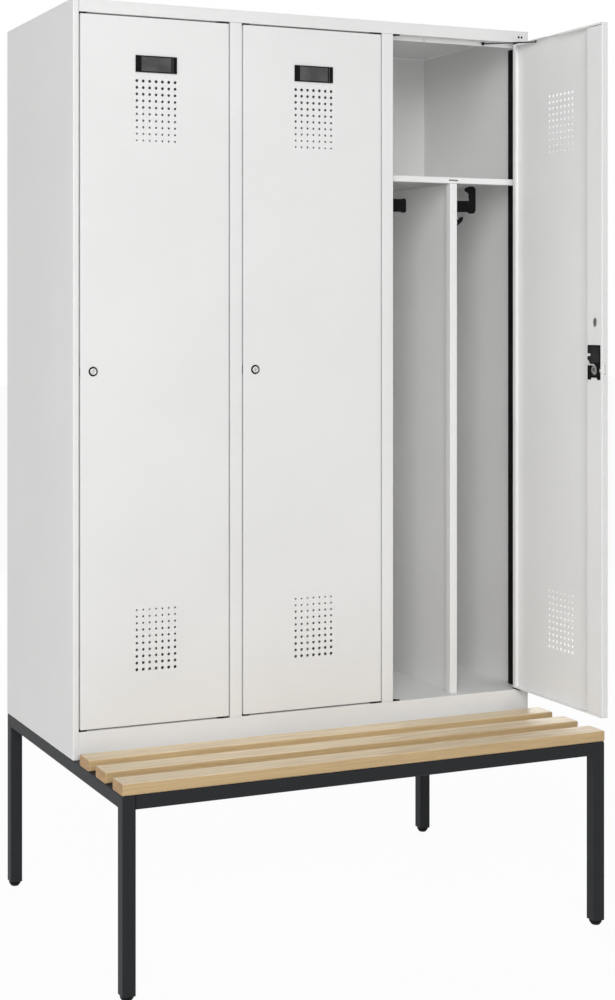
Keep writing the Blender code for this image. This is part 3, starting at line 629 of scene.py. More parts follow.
def plated_metal(name, tone, metallic=1.0):
    """Plated metal: bright, with hair-fine brushing and soft stains."""
    look = Look(name, metallic=metallic)
    brushed = look.noise(look.place((1, 1, 40)), 260.0, 3.0, 0.6)
    cloud = look.noise(look.place(), 90.0, 3.0)
    look.shade(
        base_color=look.mix(cloud.above(0.35, 0.75), tone, tinted(tone, 0.78)),
        roughness=0.22 + (brushed - 0.5) * 0.16 + (cloud - 0.5) * 0.1,
    )
    return look.bump(brushed, 0.00002)


def lacquered_wood(name, pale, grain):
    """Pale lacquered hardwood: long growth bands, fine fibres and short flecks along X."""
    look = Look(name, specular_ior_level=0.5, coat_roughness=0.25)
    board = look.noise(look.place((1.2, 9, 6)), 1.0, 2.0)
    bands = look.noise(look.place((0.5, 26, 30)), 1.6, 3.0, 0.55, 0.6)
    rings = (bands * 14.0).fraction()
    soft_rings = rings.above(0.0, 0.85) * (1 - rings.above(0.88, 1.0))
    fibres = look.noise(look.place((9, 520, 520)), 1.0, 4.0, 0.6)
    flecks = look.noise(look.place((70, 900, 900)), 1.0, 1.0).above(0.68, 0.78)
    share = soft_rings * 0.50 + fibres * 0.38 + (board - 0.5) * 0.75
    wood = look.mix(share.above(0.08, 1.15), pale, grain)
    flecked = look.mix(flecks * 0.35, wood, tinted(grain, 0.62))
    look.shade(
        base_color=flecked,
        roughness=0.42 + (fibres - 0.5) * 0.2 + soft_rings * 0.05,
        coat_weight=0.18 + (board - 0.5) * 0.1,
    )
    return look.bump(fibres * 0.7 + soft_rings * 0.3 - flecks * 0.4, 0.00008)


def end_grain(name, tone):
    """Sawn end grain: darker than the faces, with pores and faint growth arcs."""
    look = Look(name, specular_ior_level=0.35)
    arcs = look.noise(look.place((1, 60, 160)), 1.0, 2.0)
    pores = look.noise(look.place(), 900.0, 3.0, 0.7)
    share = arcs * 0.6 + pores * 0.5
    look.shade(
        base_color=look.mix(share.above(0.3, 0.8), tinted(tone, 1.25), tinted(tone, 0.7)),
        roughness=0.55 + (pores - 0.5) * 0.2,
    )
    return look.bump(pores, 0.0001)


LOOKS = {}


def look(name):
    """The finishes, each made once."""
    tones = bpy.context.scene.locker_colours
    makers = {
        "steel": lambda: powder_coat("light_grey_powder_coat", tones.steel, 0.44, 0.02),
        "tube": lambda: powder_coat("anthracite_powder_coat", tones.tube, 0.5, 0.16, 0.15),
        "wire": lambda: powder_coat("black_coated_wire", tones.plastic, 0.45, 0.03, 0.1),
        "plastic": lambda: moulded_plastic("black_moulded_plastic", tones.plastic),
        # The hinge-side strip: near-black as painted shade of the stile's hollow
        "cover": lambda: moulded_plastic("dark_cover_plastic", tones.cover, 0.5),
        "case_cover": lambda: moulded_plastic("lock_cover_plastic", tones.case_cover, 0.5),
        "window": lambda: moulded_plastic("tinted_card_window", tones.window, 0.3),
        "nickel": lambda: plated_metal("nickel_plate", tones.nickel),
        "zinc": lambda: plated_metal("zinc_plate", tones.zinc, 0.35),
        "wood": lambda: lacquered_wood("lacquered_wood", tones.wood_light, tones.wood_dark),
        # The slats' upright faces: the same wood, painted darker as shade
        "shaded_wood_side": lambda: lacquered_wood(
            "lacquered_side", tones.shaded_wood_side, tinted(tones.shaded_wood_side, 0.72)
        ),
        "end_grain": lambda: end_grain("lacquered_end_grain", tones.wood_end),
    }
    if name not in LOOKS:
        LOOKS[name] = makers[name]()
    return LOOKS[name]


# Steel body


def strike_slot(edge):
    """Cutter for the lock bolt's slot in the return of a stile."""
    bolt_low, bolt_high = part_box("lock_bolt_left")
    spare = Vector((0, OVERRUN, OVERRUN))
    low = Vector((edge - SHEET - OVERRUN, bolt_low.y, bolt_low.z)) - spare
    high = Vector((edge + OVERRUN, bolt_high.y, bolt_high.z)) + spare
    return block("slot", low, high)


def pivot_hole(bay, low, high):
    """Cutter for a door's pivot pin."""
    radius = 0.0033
    return cylinder("hole", bay.axis + AXES["Z"] * low, bay.axis + AXES["Z"] * high, radius)


def stay_slot(bay):
    """Cutter for the slot over the stay rod's ball, from its place when shut to that when open."""
    width, spare = 0.0024, 0.004
    row = FRONT + 0.022
    shut, opened = bay.axis.x - 0.2097, bay.axis.x - 0.0920
    return block(
        "slot",
        (shut - spare, row - width / 2, OPENING_TOP - OVERRUN),
        (opened + spare, row + width / 2, OPENING_TOP + SHEET + OVERRUN),
    )


def make_side_panels():
    for side, mirror in (("left", 1), ("right", -1)):
        outer = LEFT if side == "left" else RIGHT
        stile = outer + END_STILE * mirror
        behind = FRONT + sizes().stile_return
        path = ((outer, BACK), (outer, FRONT), (stile, FRONT), (stile, behind))
        obj = folded_sheet(side + "_side_sheet", path, SIDE_LOW.z, SIDE_HIGH.z, SHEET * mirror)
        if side == "left":
            cut(obj, strike_slot(BAYS[0].open_left))
        finish_sheet(obj, side + "_side_panel")


def make_partitions():
    """The walls between the compartments, each with its stile."""
    top = OPENING_TOP - SEAM
    back = FRONT + sizes().stile_return
    behind = FRONT + sizes().rail_flange + SHEET + SEAM
    for bay, node in zip(BAYS[1:], ("left_partition", "right_partition")):
        low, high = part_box(node)
        centre = (low.x + high.x) / 2
        path = ((low.x, back), (low.x, FRONT), (high.x, FRONT), (high.x, back))
        stile = folded_sheet(node + "_stile", path, low.z, top, SHEET)
        cut(stile, strike_slot(bay.open_left))
        front = FRONT + SHEET + SEAM
        start = (centre - SHEET / 2, front, low.z)
        web = plate("web", start, (0, high.y - front, 0), (0, 0, top - low.z))
        with editing(web):
            slice_all((centre, behind, top), (0, 1, 0))
            pick("EDGE", lambda edge: near(middle(edge).z, top) and middle(edge).y > behind)
            pull((0, 0, high.z - top))
        thicken(web, -SHEET)
        stile = join(stile, web)
        finish_sheet(stile, node)


def make_top():
    """Lid, top rail, the flange under it and the flange's lip, folded from one sheet."""
    folds = (0, 0, OPENING_TOP - TOP), (0, sizes().rail_flange, 0), (0, 0, -RAIL_LIP)
    lid = front_folded("lid", (LEFT, FRONT, TOP), RIGHT, BACK, BETWEEN_STILES, *folds)
    above = OPENING_TOP + SHEET + OVERRUN
    cutters = []
    for bay in BAYS:
        cutters.append(pivot_hole(bay, OPENING_TOP - OVERRUN, above))
        cutters.append(stay_slot(bay))
    # The lip is notched over the partitions and has a small hole over the open compartment
    hole_from_left, hole_radius = 0.917, 0.0027
    behind = FRONT + sizes().rail_flange
    for node in ("left_partition", "right_partition"):
        low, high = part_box(node)
        notch_low = (low.x - SEAM, behind - OVERRUN, TOP_LOW.z - OVERRUN)
        notch_high = (high.x + SEAM, behind + SHEET + OVERRUN, above)
        cutters.append(block("notch", notch_low, notch_high))
    spot = Vector((LEFT + hole_from_left, behind + SHEET / 2, OPENING_TOP - RAIL_LIP / 2))
    reach = AXES["Y"] * (SHEET + OVERRUN)
    cutters.append(cylinder("hole", spot - reach, spot + reach, hole_radius, 16))
    cut(lid, join(*cutters))
    finish_sheet(lid, "top_panel")


def make_floor():
    """Floor of the compartments, folded down into the sill."""
    behind = FRONT + sizes().stile_return + SEAM
    start = (TRAY_LOW.x, behind, OPENING_BOTTOM)
    sill = (0, 0, TRAY_LOW.z - OPENING_BOTTOM)
    folds = (0, FRONT - behind, 0), sill, (0, sizes().sill_return, 0)
    tray = front_folded("tray", start, TRAY_HIGH.x, TRAY_HIGH.y, BETWEEN_STILES, *folds)
    for bay in BAYS:
        cut(tray, pivot_hole(bay, OPENING_BOTTOM - SHEET - OVERRUN, OPENING_BOTTOM + OVERRUN))
    finish_sheet(tray, "floor_tray")


class LOCKER_OT_body(bpy.types.Operator):
    """Fold the side panels, partitions, lid and floor from sheet steel"""

    bl_idname = "locker.body"
    bl_label = "Steel body"

    def execute(self, context):
        make_side_panels()
        make_partitions()
        make_top()
        make_floor()
        dress("back_panel", "steel")
        return {"FINISHED"}


# Shelves, dividers, hooks and plastic trim


def make_shelf(bay):
    """Hat shelf: its front edge is folded down and in, and it is notched round the hinge cover."""
    slot_length, slot_height, tab_width = 0.026, 0.0036, 0.0095
    low, high = bay.box("hat_shelf")
    notch = bay.box("hinge_cover")[1].y + SEAM
    right = bay.open_right - SEAM
    folds = (0, low.y - notch, 0), (0, 0, low.z - high.z), (0, sizes().shelf_return, 0)
    start = (low.x, notch, high.z)
    shelf = front_folded("shelf", start, high.x, high.y, (low.x, right), *folds)
    divider_low, divider_high = bay.box("divider")
    slot_place = Vector(((divider_low.x + divider_high.x) / 2, low.y, (low.z + high.z) / 2))
    slot_half = Vector((slot_length / 2, OVERRUN, slot_height / 2))
    cut(shelf, block("slot", slot_place - slot_half, slot_place + slot_half))
    # A narrow tab lies on the fold's face, next to the hinge cover
    tab_low = (right - tab_width, low.y - SEAM, low.z + SHEET)
    tab = block("tab", tab_low, (right - SEAM, low.y + SHEET / 2, high.z - SHEET))
    soften(tab, SEAM)
    shelf = join(shelf, tab)
    finish_sheet(shelf, bay.node("hat_shelf"))


def make_divider(bay):
    """Divider: a sheet whose front edge is rolled into a square box hem."""
    low, high = bay.box("divider")
    centre = (low.x + high.x) / 2
    hem = high.x - centre
    front, behind = low.y, low.y + 2 * hem
    face = centre + SHEET / 2
    path = (
        (face, high.y),
        (face, behind),
        (centre + hem, behind),
        (centre + hem, front),
        (centre - hem, front),
        (centre - hem, behind),
        (centre - SHEET, behind),
    )
    top = bay.box("hat_shelf")[0].z - SEAM
    divider = folded_sheet("divider_sheet", path, low.z, top, -SHEET)
    finish_sheet(divider, bay.node("divider"))


def make_hinge_cover(bay):
    """Angle strip that closes the stile's hollow on the hinge side; its near-black colour is painted shade of that
    deep hollow.
    """
    thickness = 0.0015
    low, high = bay.box("hinge_cover")
    path = ((low.x, low.y), (low.x, high.y), (high.x, high.y))
    cover = folded_sheet("hinge_strip", path, low.z, high.z, -thickness)
    soften(cover, thickness / 4)
    settle(cover, "locker", "cover", bay.node("hinge_cover"))


def make_corner_pads(bay):
    """Black three-cornered buffers in the lock-side corners of the opening."""
    width, depth, thickness, rounding = 0.020, 0.022, 0.0026, 0.002
    left = bay.open_left + SEAM
    front = FRONT + SHEET
    outline = ((left, front), (bay.open_left + width, front), (left, FRONT + depth))
    levels = {"top": OPENING_TOP - SEAM - thickness, "bottom": OPENING_BOTTOM + SEAM}
    for end, level in levels.items():
        name = f"corner_buffer_{end}_{bay.name}"
        pad = traced(name, outline, "Z", level, level + thickness, rounding)
        soften(pad, thickness / 5)
        settle(pad, "locker", "plastic")


# A coat hook's outlines, in shares of its reach and of the upright hook's height
HOOK_TALL_ARM = (
    (0.01, 0.37), (0.74, 0.38), (0.83, 0.34), (0.95, 0.35), (1.0, 0.42), (1.0, 0.94), (0.93, 1.0),
    (0.80, 1.0), (0.66, 0.95), (0.655, 0.89), (0.79, 0.82), (0.815, 0.65), (0.01, 0.64),
)
HOOK_LOW_ARM = (
    (0.01, 0.345), (0.86, 0.345), (0.91, 0.325), (0.965, 0.325), (1.0, 0.365), (1.0, 0.62),
    (0.965, 0.66), (0.91, 0.66), (0.86, 0.645), (0.01, 0.64),
)
HOOK_PRONG = (
    (0.01, 0.0), (0.36, 0.04), (0.53, 0.155), (0.575, 0.25), (0.51, 0.265), (0.40, 0.175),
    (0.29, 0.12), (0.01, 0.14),
)
HOOK_RIB = ((0.03, 0.42), (0.78, 0.42), (0.90, 0.47), (0.90, 0.60), (0.03, 0.60))
# Thickness of the arm, of the arm with its ribs, and the base's thickness and height
HOOK_WEB, HOOK_RIBBED, HOOK_BASE, HOOK_BASE_HEIGHT = 0.008, 0.00992, 0.003, 0.081
HOOK_BASE_ROUNDING = 0.0012
# Two screws: their heights in shares of the base's, their place across it, and their heads
HOOK_SCREWS, HOOK_SCREW_ACROSS = (0.08, 0.88), 0.32
HOOK_SCREW_HEAD, HOOK_SCREW_RADIUS, HOOK_SCREW_TIP = 0.0012, 0.0028, 0.0018


def make_hook(number):
    """Coat hook: a ribbed arm, a short prong and a screwed base; the divider's arm is upright."""
    low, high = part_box(f"coat_hook_{number}")
    tall_low, tall_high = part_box("coat_hook_2")
    reach = high.x - low.x
    centre = (low.y + high.y) / 2
    height = tall_high.z - tall_low.z - HOOK_BASE
    face = low.x + HOOK_BASE
    base_high = (face, high.y, low.z + HOOK_BASE_HEIGHT)
    hook = block(f"coat_hook_shape_{number}", low, base_high)
    soften(hook, HOOK_BASE_ROUNDING, 3)
    arm = HOOK_TALL_ARM if number % 2 == 0 else HOOK_LOW_ARM
    for shares, width, rounding, edge, segments in (
        (arm, HOOK_WEB, 0.0022, 0.0011, 3),
        (HOOK_PRONG, HOOK_WEB, 0.0022, 0.0011, 3),
        (HOOK_RIB, HOOK_RIBBED, 0.002, 0.0006, 2),
    ):
        outline = [(low.x + r * reach, low.z + HOOK_BASE + h * height) for r, h in shares]
        part = traced("prong", outline, "Y", centre - width / 2, centre + width / 2, rounding)
        soften(part, edge, segments)
        hook = join(hook, part)
    for share in HOOK_SCREWS:
        across = centre + (high.y - low.y) * HOOK_SCREW_ACROSS
        spot = Vector((face, across, low.z + HOOK_BASE_HEIGHT * share))
        end = spot + AXES["X"] * HOOK_SCREW_HEAD
        head = cylinder("screw", spot, end, HOOK_SCREW_RADIUS, 16, HOOK_SCREW_TIP)
        hook = join(hook, head)
    settle(hook, "locker", "plastic", f"coat_hook_{number}")


def make_rivets():
    """The two dark rivet heads on the top rail, over the right door's hinge."""
    below_top, rise, radius, tip = 0.015, 0.0008, 0.0032, 0.0022
    for number, from_left in enumerate((1.1725, 1.1808), 1):
        spot = Vector((LEFT + from_left, FRONT, TOP - below_top))
        start, end = spot + AXES["Y"] * SEAM, spot - AXES["Y"] * rise
        rivet = cylinder(f"rail_rivet_{number}", start, end, radius, 20, tip)
        soften(rivet, 0.0003)
        settle(rivet, "locker", "wire")


class LOCKER_OT_fittings(bpy.types.Operator):
    """Model the hat shelves, dividers, coat hooks and black plastic trim"""

    bl_idname = "locker.fittings"
    bl_label = "Inner fittings"

    def execute(self, context):
        for number, bay in enumerate(BAYS):
            make_shelf(bay)
            make_divider(bay)
            make_hinge_cover(bay)
            make_corner_pads(bay)
            make_hook(2 * number + 1)
            make_hook(2 * number + 2)
            dress(bay.node("hinge_bush_top"), "plastic")
            dress(bay.node("hinge_bush_bottom"), "plastic")
        make_rivets()
        return {"FINISHED"}


# Doors

# The shut door's faces, measured from its pivot
DOOR_LOW, DOOR_HIGH = on_door("door")
LOCK_EDGE, SKIN = DOOR_LOW.x, DOOR_LOW.y
HINGE_EDGE, INSIDE = DOOR_HIGH.x, DOOR_HIGH.y
DOOR_LEVEL = (DOOR_LOW.z + DOOR_HIGH.z) / 2

# The oblong finger hole: from the lock edge, over the door's middle, half its height, its narrowing
FINGER_PLACE, FINGER_RISE, FINGER_RADIUS, FINGER_NARROWING = 0.0275, 0.1095, 0.011, 0.64

# The stay crosses the top flange's edge between these shares of its length; the notch's size there
STAY_NOTCH_SHARES, STAY_NOTCH_DEPTH, STAY_NOTCH_DROP = (0.8, 0.4), 0.004, 0.008

# The top flange's lip and the strip at the box's foot: how tall, how far from the door's edges,
# and how far the lip stays from the stay's stem, where the rod swings
LIP_HEIGHT, FOOT_STRIP, LIP_INSET, LIP_FROM_STAY = 0.0045, 0.0056, 0.0022, 0.0145

# Notches in the lock case. At its foot: near and far end from the hinge side, and height.
# In its hinge side and in its lock side: depth, and foot and head over the barrel
FOOT_NOTCH = (0.0115, 0.0359, 0.005)
HINGE_NOTCH = (0.011, 0.0315, 0.0377)
LOCK_NOTCH = (0.0035, -0.0055, 0.0025)
# The door's sheet reaches into the notches, with this gap round it
TONGUE_GAP = 0.0003


def door_ends():
    """Bottom and top of the door's sheet, without the pivot pins."""
    return DOOR_LOW.z + sizes().pin_length, DOOR_HIGH.z - sizes().pin_length


def vent_holes(level, large_first):
    """Cutters for a field of holes, whose radius changes evenly from row to row, going down."""
    vents = bpy.context.scene.locker_vents
    start = (LOCK_EDGE + HINGE_EDGE) / 2 - vents.pitch_x * (vents.columns - 1) / 2
    reach = AXES["Y"] * (SHEET + OVERRUN)
    rows = []
    for row in range(vents.rows):
        share = row / (vents.rows - 1)
        if large_first:
            share = 1 - share
        radius = vents.small + (vents.large - vents.small) * share
        centre = Vector((start, SKIN, level - row * vents.pitch_z))
        hole = cylinder("hole", centre - reach, centre + reach, radius, 16)
        apply_modifier(
            hole,
            "ARRAY",
            count=vents.columns,
            use_relative_offset=False,
            use_constant_offset=True,
            constant_offset_displace=(vents.pitch_x, 0, 0),
        )
        rows.append(hole)
    return join(*rows)


def finger_slot(start, end):
    """Cutter for the upright oblong hole over the lock."""
    slot = cylinder("finger_slot", start, end, FINGER_RADIUS, 48)
    with editing(slot):
        pick_all()
        bpy.ops.transform.resize(value=(FINGER_NARROWING, 1, 1), center_override=start)
    return slot


def door_pan():
    """The door's sheet: skin, four sides, the hinge side's lip and the stiffener's box."""
    bottom, top = door_ends()
    depth = INSIDE - SKIN
    across, rise = (HINGE_EDGE - LOCK_EDGE, 0, 0), (0, 0, top - bottom)
    pan = plate("door_pan", (LOCK_EDGE, SKIN, bottom), across, rise)
    with editing(pan):
        bpy.ops.mesh.select_mode(type="EDGE")
        pick_all()
        bpy.ops.mesh.region_to_loop()
        bpy.ops.mesh.extrude_edges_move(TRANSFORM_OT_translate={"value": (0, depth, 0)})
        for x, relief in ((HINGE_EDGE, sizes().lip_relief), (LOCK_EDGE, sizes().stiffener_relief)):
            for end in (bottom + relief, top - relief):
                pick("FACE", lambda flat: near(flat.calc_center_median().x, x))
                bpy.ops.mesh.bisect(plane_co=(x, SKIN, end), plane_no=(0, 0, 1))
        pull_edge(Vector((HINGE_EDGE, INSIDE, DOOR_LEVEL)), (-sizes().hinge_lip, 0, 0))
        pull_edge(
            Vector((LOCK_EDGE, INSIDE, DOOR_LEVEL)),
            (sizes().stiffener, 0, 0),
            (0, SHEET + SEAM - depth, 0),
        )
        round_folds(sizes().fold_radius)
    thicken(pan, SHEET)
    return pan


def stay_notch():
    """Corners of the notch that the stay rod needs in the top flange."""
    top = door_ends()[1]
    stem = pivot_on_door("stay_rod").x
    span = stem - on_door("stay_rod")[0].x
    far, close = (stem - share * span for share in STAY_NOTCH_SHARES)
    low = Vector((far, INSIDE - STAY_NOTCH_DEPTH, top - STAY_NOTCH_DROP))
    return low, Vector((close, INSIDE + OVERRUN, top + OVERRUN))


def door_cutter():
    """One cutter for the ventilation, the lock, the finger hole and the stay."""
    collar_radius, stem_radius = 0.011, 0.0018
    bottom, top = door_ends()
    vents = bpy.context.scene.locker_vents
    field = vents.pitch_z * (vents.rows - 1)
    case_low, case_high = on_door("lock_case")
    bolt_low, bolt_high = on_door("lock_bolt")
    case_middle = (case_low.x + case_high.x) / 2
    behind = INSIDE - SHEET - OVERRUN
    finger = Vector((LOCK_EDGE + FINGER_PLACE, behind, DOOR_LEVEL + FINGER_RISE))
    finger_end = Vector((finger.x, INSIDE + OVERRUN, finger.z))
    spare = Vector((OVERRUN, SEAM, SEAM))
    slot_high = Vector((LOCK_EDGE + SHEET, bolt_high.y, bolt_high.z))
    stay = pivot_on_door("stay_rod")
    stem = Vector((stay.x, stay.y, top))
    reach = AXES["Z"] * (SHEET + OVERRUN)
    return join(
        vent_holes(top - vents.below_top, True),
        vent_holes(bottom + vents.above_bottom + field, False),
        cylinder(
            "collar_hole",
            (case_middle, SKIN - OVERRUN, DOOR_LEVEL),
            (case_middle, SKIN + SHEET + OVERRUN, DOOR_LEVEL),
            collar_radius,
            32,
        ),
        block(
            "window",
            (case_low.x - SEAM, behind, case_low.z - SEAM),
            (case_high.x + SEAM, INSIDE + OVERRUN, case_high.z + SEAM),
        ),
        finger_slot(finger, finger_end),
        block("bolt_slot", bolt_low - spare, slot_high + spare),
        cylinder("stay_hole", stem - reach, stem + reach, stem_radius, 16),
        block("stay_notch", *stay_notch()),
    )


def tongues():
    """Places of the sheet's tongues in the lock case's notches: two of x and two of z each."""
    low, high = on_door("lock_case")
    gap = TONGUE_GAP
    close, far, rise = FOOT_NOTCH
    yield high.x - far + gap, high.x - close - gap, low.z - OVERRUN, low.z + rise - gap
    depth, foot, head = HINGE_NOTCH
    foot, head = DOOR_LEVEL + foot + gap, DOOR_LEVEL + head - gap
    yield high.x - depth + gap, high.x + OVERRUN, foot, head
    depth, foot, head = LOCK_NOTCH
    foot, head = DOOR_LEVEL + foot + gap, DOOR_LEVEL + head - gap
    yield low.x - OVERRUN, low.x + depth - gap, foot, head


def make_doors():
    """Door pans with their folded stiffener, modelled shut and then hung on their pivots."""
    bottom, top = door_ends()
    skin = door_pan()
    cut(skin, door_cutter())
    for x0, x1, z0, z1 in tongues():
        low, high = (x0, INSIDE - SHEET + SEAM / 2, z0), (x1, INSIDE - SEAM / 2, z1)
        skin = join(skin, block("tongue", low, high))
    # The top flange's lip, open where the stay sweeps, and the strip that closes the box's foot
    past_stay = pivot_on_door("stay_rod").x + LIP_FROM_STAY
    lock_end, hinge_end = LOCK_EDGE + LIP_INSET, HINGE_EDGE - LIP_INSET
    for x0, x1, z0, z1 in (
        (lock_end, stay_notch()[0].x, top - LIP_HEIGHT, top - SEAM),
        (past_stay, hinge_end, top - LIP_HEIGHT, top - SEAM),
        (lock_end, LOCK_EDGE + sizes().stiffener, bottom + SEAM, bottom + FOOT_STRIP),
    ):
        skin = join(skin, block("lip", (x0, INSIDE - SHEET, z0), (x1, INSIDE + SEAM / 3, z1)))
    pin_radius = 0.003
    for start, end in ((top - SHEET, DOOR_HIGH.z), (DOOR_LOW.z, bottom + SHEET)):
        pin = cylinder("pin", AXES["Z"] * start, AXES["Z"] * end, pin_radius)
        soften(pin, pin_radius / 6)
        skin = join(skin, pin)
    soften(skin, sizes().cut_edge, 1)
    settle_on_doors(skin, "door_shell", "door", "steel", "door")


def make_label_holders():
    """Card holder: a dark rim round a tinted window, with a finger ridge near its right end."""
    rim, side_rim, deep, window_inset = 0.0022, 0.003, 0.0011, 0.014
    ridge_inset, ridge_width = 0.0092, 0.0016
    low, high = on_door("label_holder")
    face, floor = low.y, low.y + deep
    foot, head = low.z + rim + SEAM, high.z - rim - SEAM
    holder = block("card_holder", low, high)
    pocket_low = (low.x + side_rim, face - OVERRUN, low.z + rim)
    cut(holder, block("pocket", pocket_low, (high.x - side_rim, floor, high.z - rim)))
    soften(holder, 0.0007, 3)
    window = block(
        "card_window",
        (low.x + window_inset, face + deep * 0.35, foot),
        (high.x - window_inset, floor + SEAM, head),
    )
    soften(window, 0.0005, 2)
    ridge_end = high.x - ridge_inset
    ridge_low = (ridge_end - ridge_width, face + deep * 0.1, foot)
    ridge = block("card_ridge", ridge_low, (ridge_end, floor + SEAM, head))
    soften(ridge, 0.0004, 2)
    settle_on_doors(holder, "card_holder", "door", "plastic", "label_holder")
    settle_on_doors(join(window, ridge), "card_window", "door", "window")


class LOCKER_OT_doors(bpy.types.Operator):
    """Fold and punch the doors and add their card holders"""

    bl_idname = "locker.doors"
    bl_label = "Doors"

    def execute(self, context):
        make_doors()
        make_label_holders()
        return {"FINISHED"}


# Locks

# Outlines on the lock case: distance from its hinge side, and height over the barrel.
# The keeper lies in a notch of its own
KEEPER_NOTCH = (
    (0, 0.0096), (0.024, 0.0096), (0.024, 0.0138), (0.010, 0.0138), (0.0035, 0.0222), (0, 0.0222),
)
KEEPER_ARM = (
    (0.0008, 0.0100), (0.0236, 0.0100), (0.0236, 0.0134), (0.0098, 0.0134), (0.0038, 0.0218),
    (0.0008, 0.0218),
)
# The cover's hinge side, and how far it stays from the case's other sides
COVER_SIDE = (
    (0.0125, 0.0165), (0.0045, 0.0265), (0.0045, 0.0295), (0.0125, 0.0295), (0.0125, 0.0397),
    (0.003, 0.0397),
)
COVER_INSET = 0.003
BORE_RADIUS, WELL_RADIUS, WELL_DEPTH, COLLAR_RADIUS = 0.0078, 0.0126, 0.0042, 0.0107
SEAT_RADIUS, SEAT_THICKNESS, KEEPER_DEPTH = 0.0122, 0.0006, 0.003


def make_lock_cases():
    """Lock case: a notched block in the stiffener's cut-out, its cover, and a collar at the skin."""
    low, high = on_door("lock_case")
    level = pivot_on_door("lock_barrel").z
    back, front = high.y, SKIN + SHEET + SEAM
    centre = (low.x + high.x) / 2
    width, foot, head = high.x - low.x, low.z - level, high.z - level

    def at(y):
        return Vector((centre, y, level))

    def plate_of(name, outline, start, end):
        points = [(high.x - across, level + rise) for across, rise in outline]
        return traced(name, points, "Y", start, end)

    def bore():
        return cylinder("bore", at(low.y - OVERRUN), at(back + OVERRUN), BORE_RADIUS, 40)

    close, far, rise = FOOT_NOTCH
    hinge_depth, hinge_foot, hinge_head = HINGE_NOTCH
    lock_depth, lock_foot, lock_head = LOCK_NOTCH
    outline = (
        (width, foot), (far, foot), (far, foot + rise), (close, foot + rise), (close, foot),
        (0, foot),
        *KEEPER_NOTCH,
        (0, hinge_foot), (hinge_depth, hinge_foot), (hinge_depth, hinge_head), (0, hinge_head),
        (0, head), (width, head),
        (width, lock_head), (width - lock_depth, lock_head), (width - lock_depth, lock_foot),
        (width, lock_foot),
    )
    case = plate_of("lock_case_shape", outline, front, back)
    bolt_low, bolt_high = on_door("lock_bolt")
    way_low = bolt_low - Vector((OVERRUN * 4, SEAM, SEAM))
    cut(case, block("bolt_way", way_low, bolt_high + Vector((SEAM, SEAM, SEAM))))
    cut(case, bore())
    well = back - WELL_DEPTH
    cut(case, cylinder("well", at(well), at(back + OVERRUN), WELL_RADIUS, 48))
    soften(case, 0.0005, 2)
    collar = cylinder("collar", at(low.y), at(front + SHEET), COLLAR_RADIUS, 40)
    cut(collar, bore())
    soften(collar, 0.0005, 2)
    case = join(case, collar)

    left, top = width - COVER_INSET, head - COVER_INSET
    cover_outline = ((left, COVER_SIDE[0][1]), *COVER_SIDE, (COVER_INSET, top), (left, top))
    cover = plate_of("lock_cover_shape", cover_outline, back - SHEET, back + SEAM)
    soften(cover, SEAM)

    keeper = plate_of("lock_keeper_shape", KEEPER_ARM, back - KEEPER_DEPTH, back - SHEET)
    soften(keeper, 0.0004)
    seat = cylinder("seat", at(well), at(well + SEAT_THICKNESS), SEAT_RADIUS, 40)
    cut(seat, bore())
    settle_on_doors(case, "lock_body", "door", "plastic", "lock_case")
    settle_on_doors(cover, "lock_cover", "door", "case_cover")
    settle_on_doors(join(keeper, seat), "lock_keeper", "door", "zinc")


def make_lock_barrels():
    """Key barrel: a domed nickel face with a keyhole, and the cam and its screw at the back."""
    radius, recess_radius, recess_depth = 0.0075, 0.0052, 0.0004
    keyhole_radius, keyhole_half, keyhole_depth = 0.0013, (0.0006, 0.0035), 0.005
    cam_radius, cam_thickness, cam_overlap = 0.0098, 0.0025, 0.002
    flat_level, flat_cutter = -0.0078, 0.006
    tail_low, tail_high, tail_depths = (-0.0035, 0.002), (0.0045, 0.0098), (0.0022, 0.0002)
    screw_radius, screw_rise, slot_depth, slot_half = 0.0042, 0.001, 0.0008, (0.0036, 0.0005)
    low, high = on_door("lock_barrel")
    axis = pivot_on_door("lock_barrel")
    front, back = low.y, high.y

    def at(y, dx=0.0, dz=0.0):
        return Vector((axis.x + dx, y, axis.z + dz))

    shaft = cylinder("lock_barrel_shape", at(front), at(back - cam_overlap), radius, 40)
    soften(shaft, 0.0006, 3)
    before, deep = front - OVERRUN, front + keyhole_depth
    x, z = keyhole_half
    cut(
        shaft,
        cylinder("recess", at(before), at(front + recess_depth), recess_radius, 32),
        block("keyhole", at(before, -x, -z), at(deep, x, z)),
        cylinder("core", at(before), at(deep), keyhole_radius, 16),
    )
    cam = cylinder("cam", at(back - cam_thickness), at(back), cam_radius, 40)
    soften(cam, 0.0004, 2)
    wide = 2 * flat_cutter
    flat_low, flat_high = at(back - flat_cutter, -wide, -wide), at(back + OVERRUN, wide, flat_level)
    cut(cam, block("flat", flat_low, flat_high))
    near_depth, far_depth = tail_depths
    tail = block("tail", at(back - near_depth, *tail_low), at(back - far_depth, *tail_high))
    soften(tail, 0.0005, 2)
    screw = cylinder("screw", at(back - screw_rise), at(back), screw_radius)
    for x, z in (slot_half, slot_half[::-1]):
        cut(screw, block("slot", at(back - slot_depth, -x, -z), at(back + OVERRUN, x, z)))
    barrel = join(shaft, cam, tail, screw)
    settle_on_doors(barrel, "key_barrel", "lock_barrel", "nickel", "lock_barrel")


def make_lock_bolts():
    """Lock bolt with a rounded nose."""
    bolt = block("lock_bolt_shape", *on_door("lock_bolt"))
    soften(bolt, 0.0008, 3)
    settle_on_doors(bolt, "bolt", "lock_bolt", "zinc", "lock_bolt")


class LOCKER_OT_locks(bpy.types.Operator):
    """Model the lock cases, key barrels and bolts"""

    bl_idname = "locker.locks"
    bl_label = "Locks"

    def execute(self, context):
        make_lock_cases()
        make_lock_barrels()
        make_lock_bolts()
        return {"FINISHED"}


# Door stays


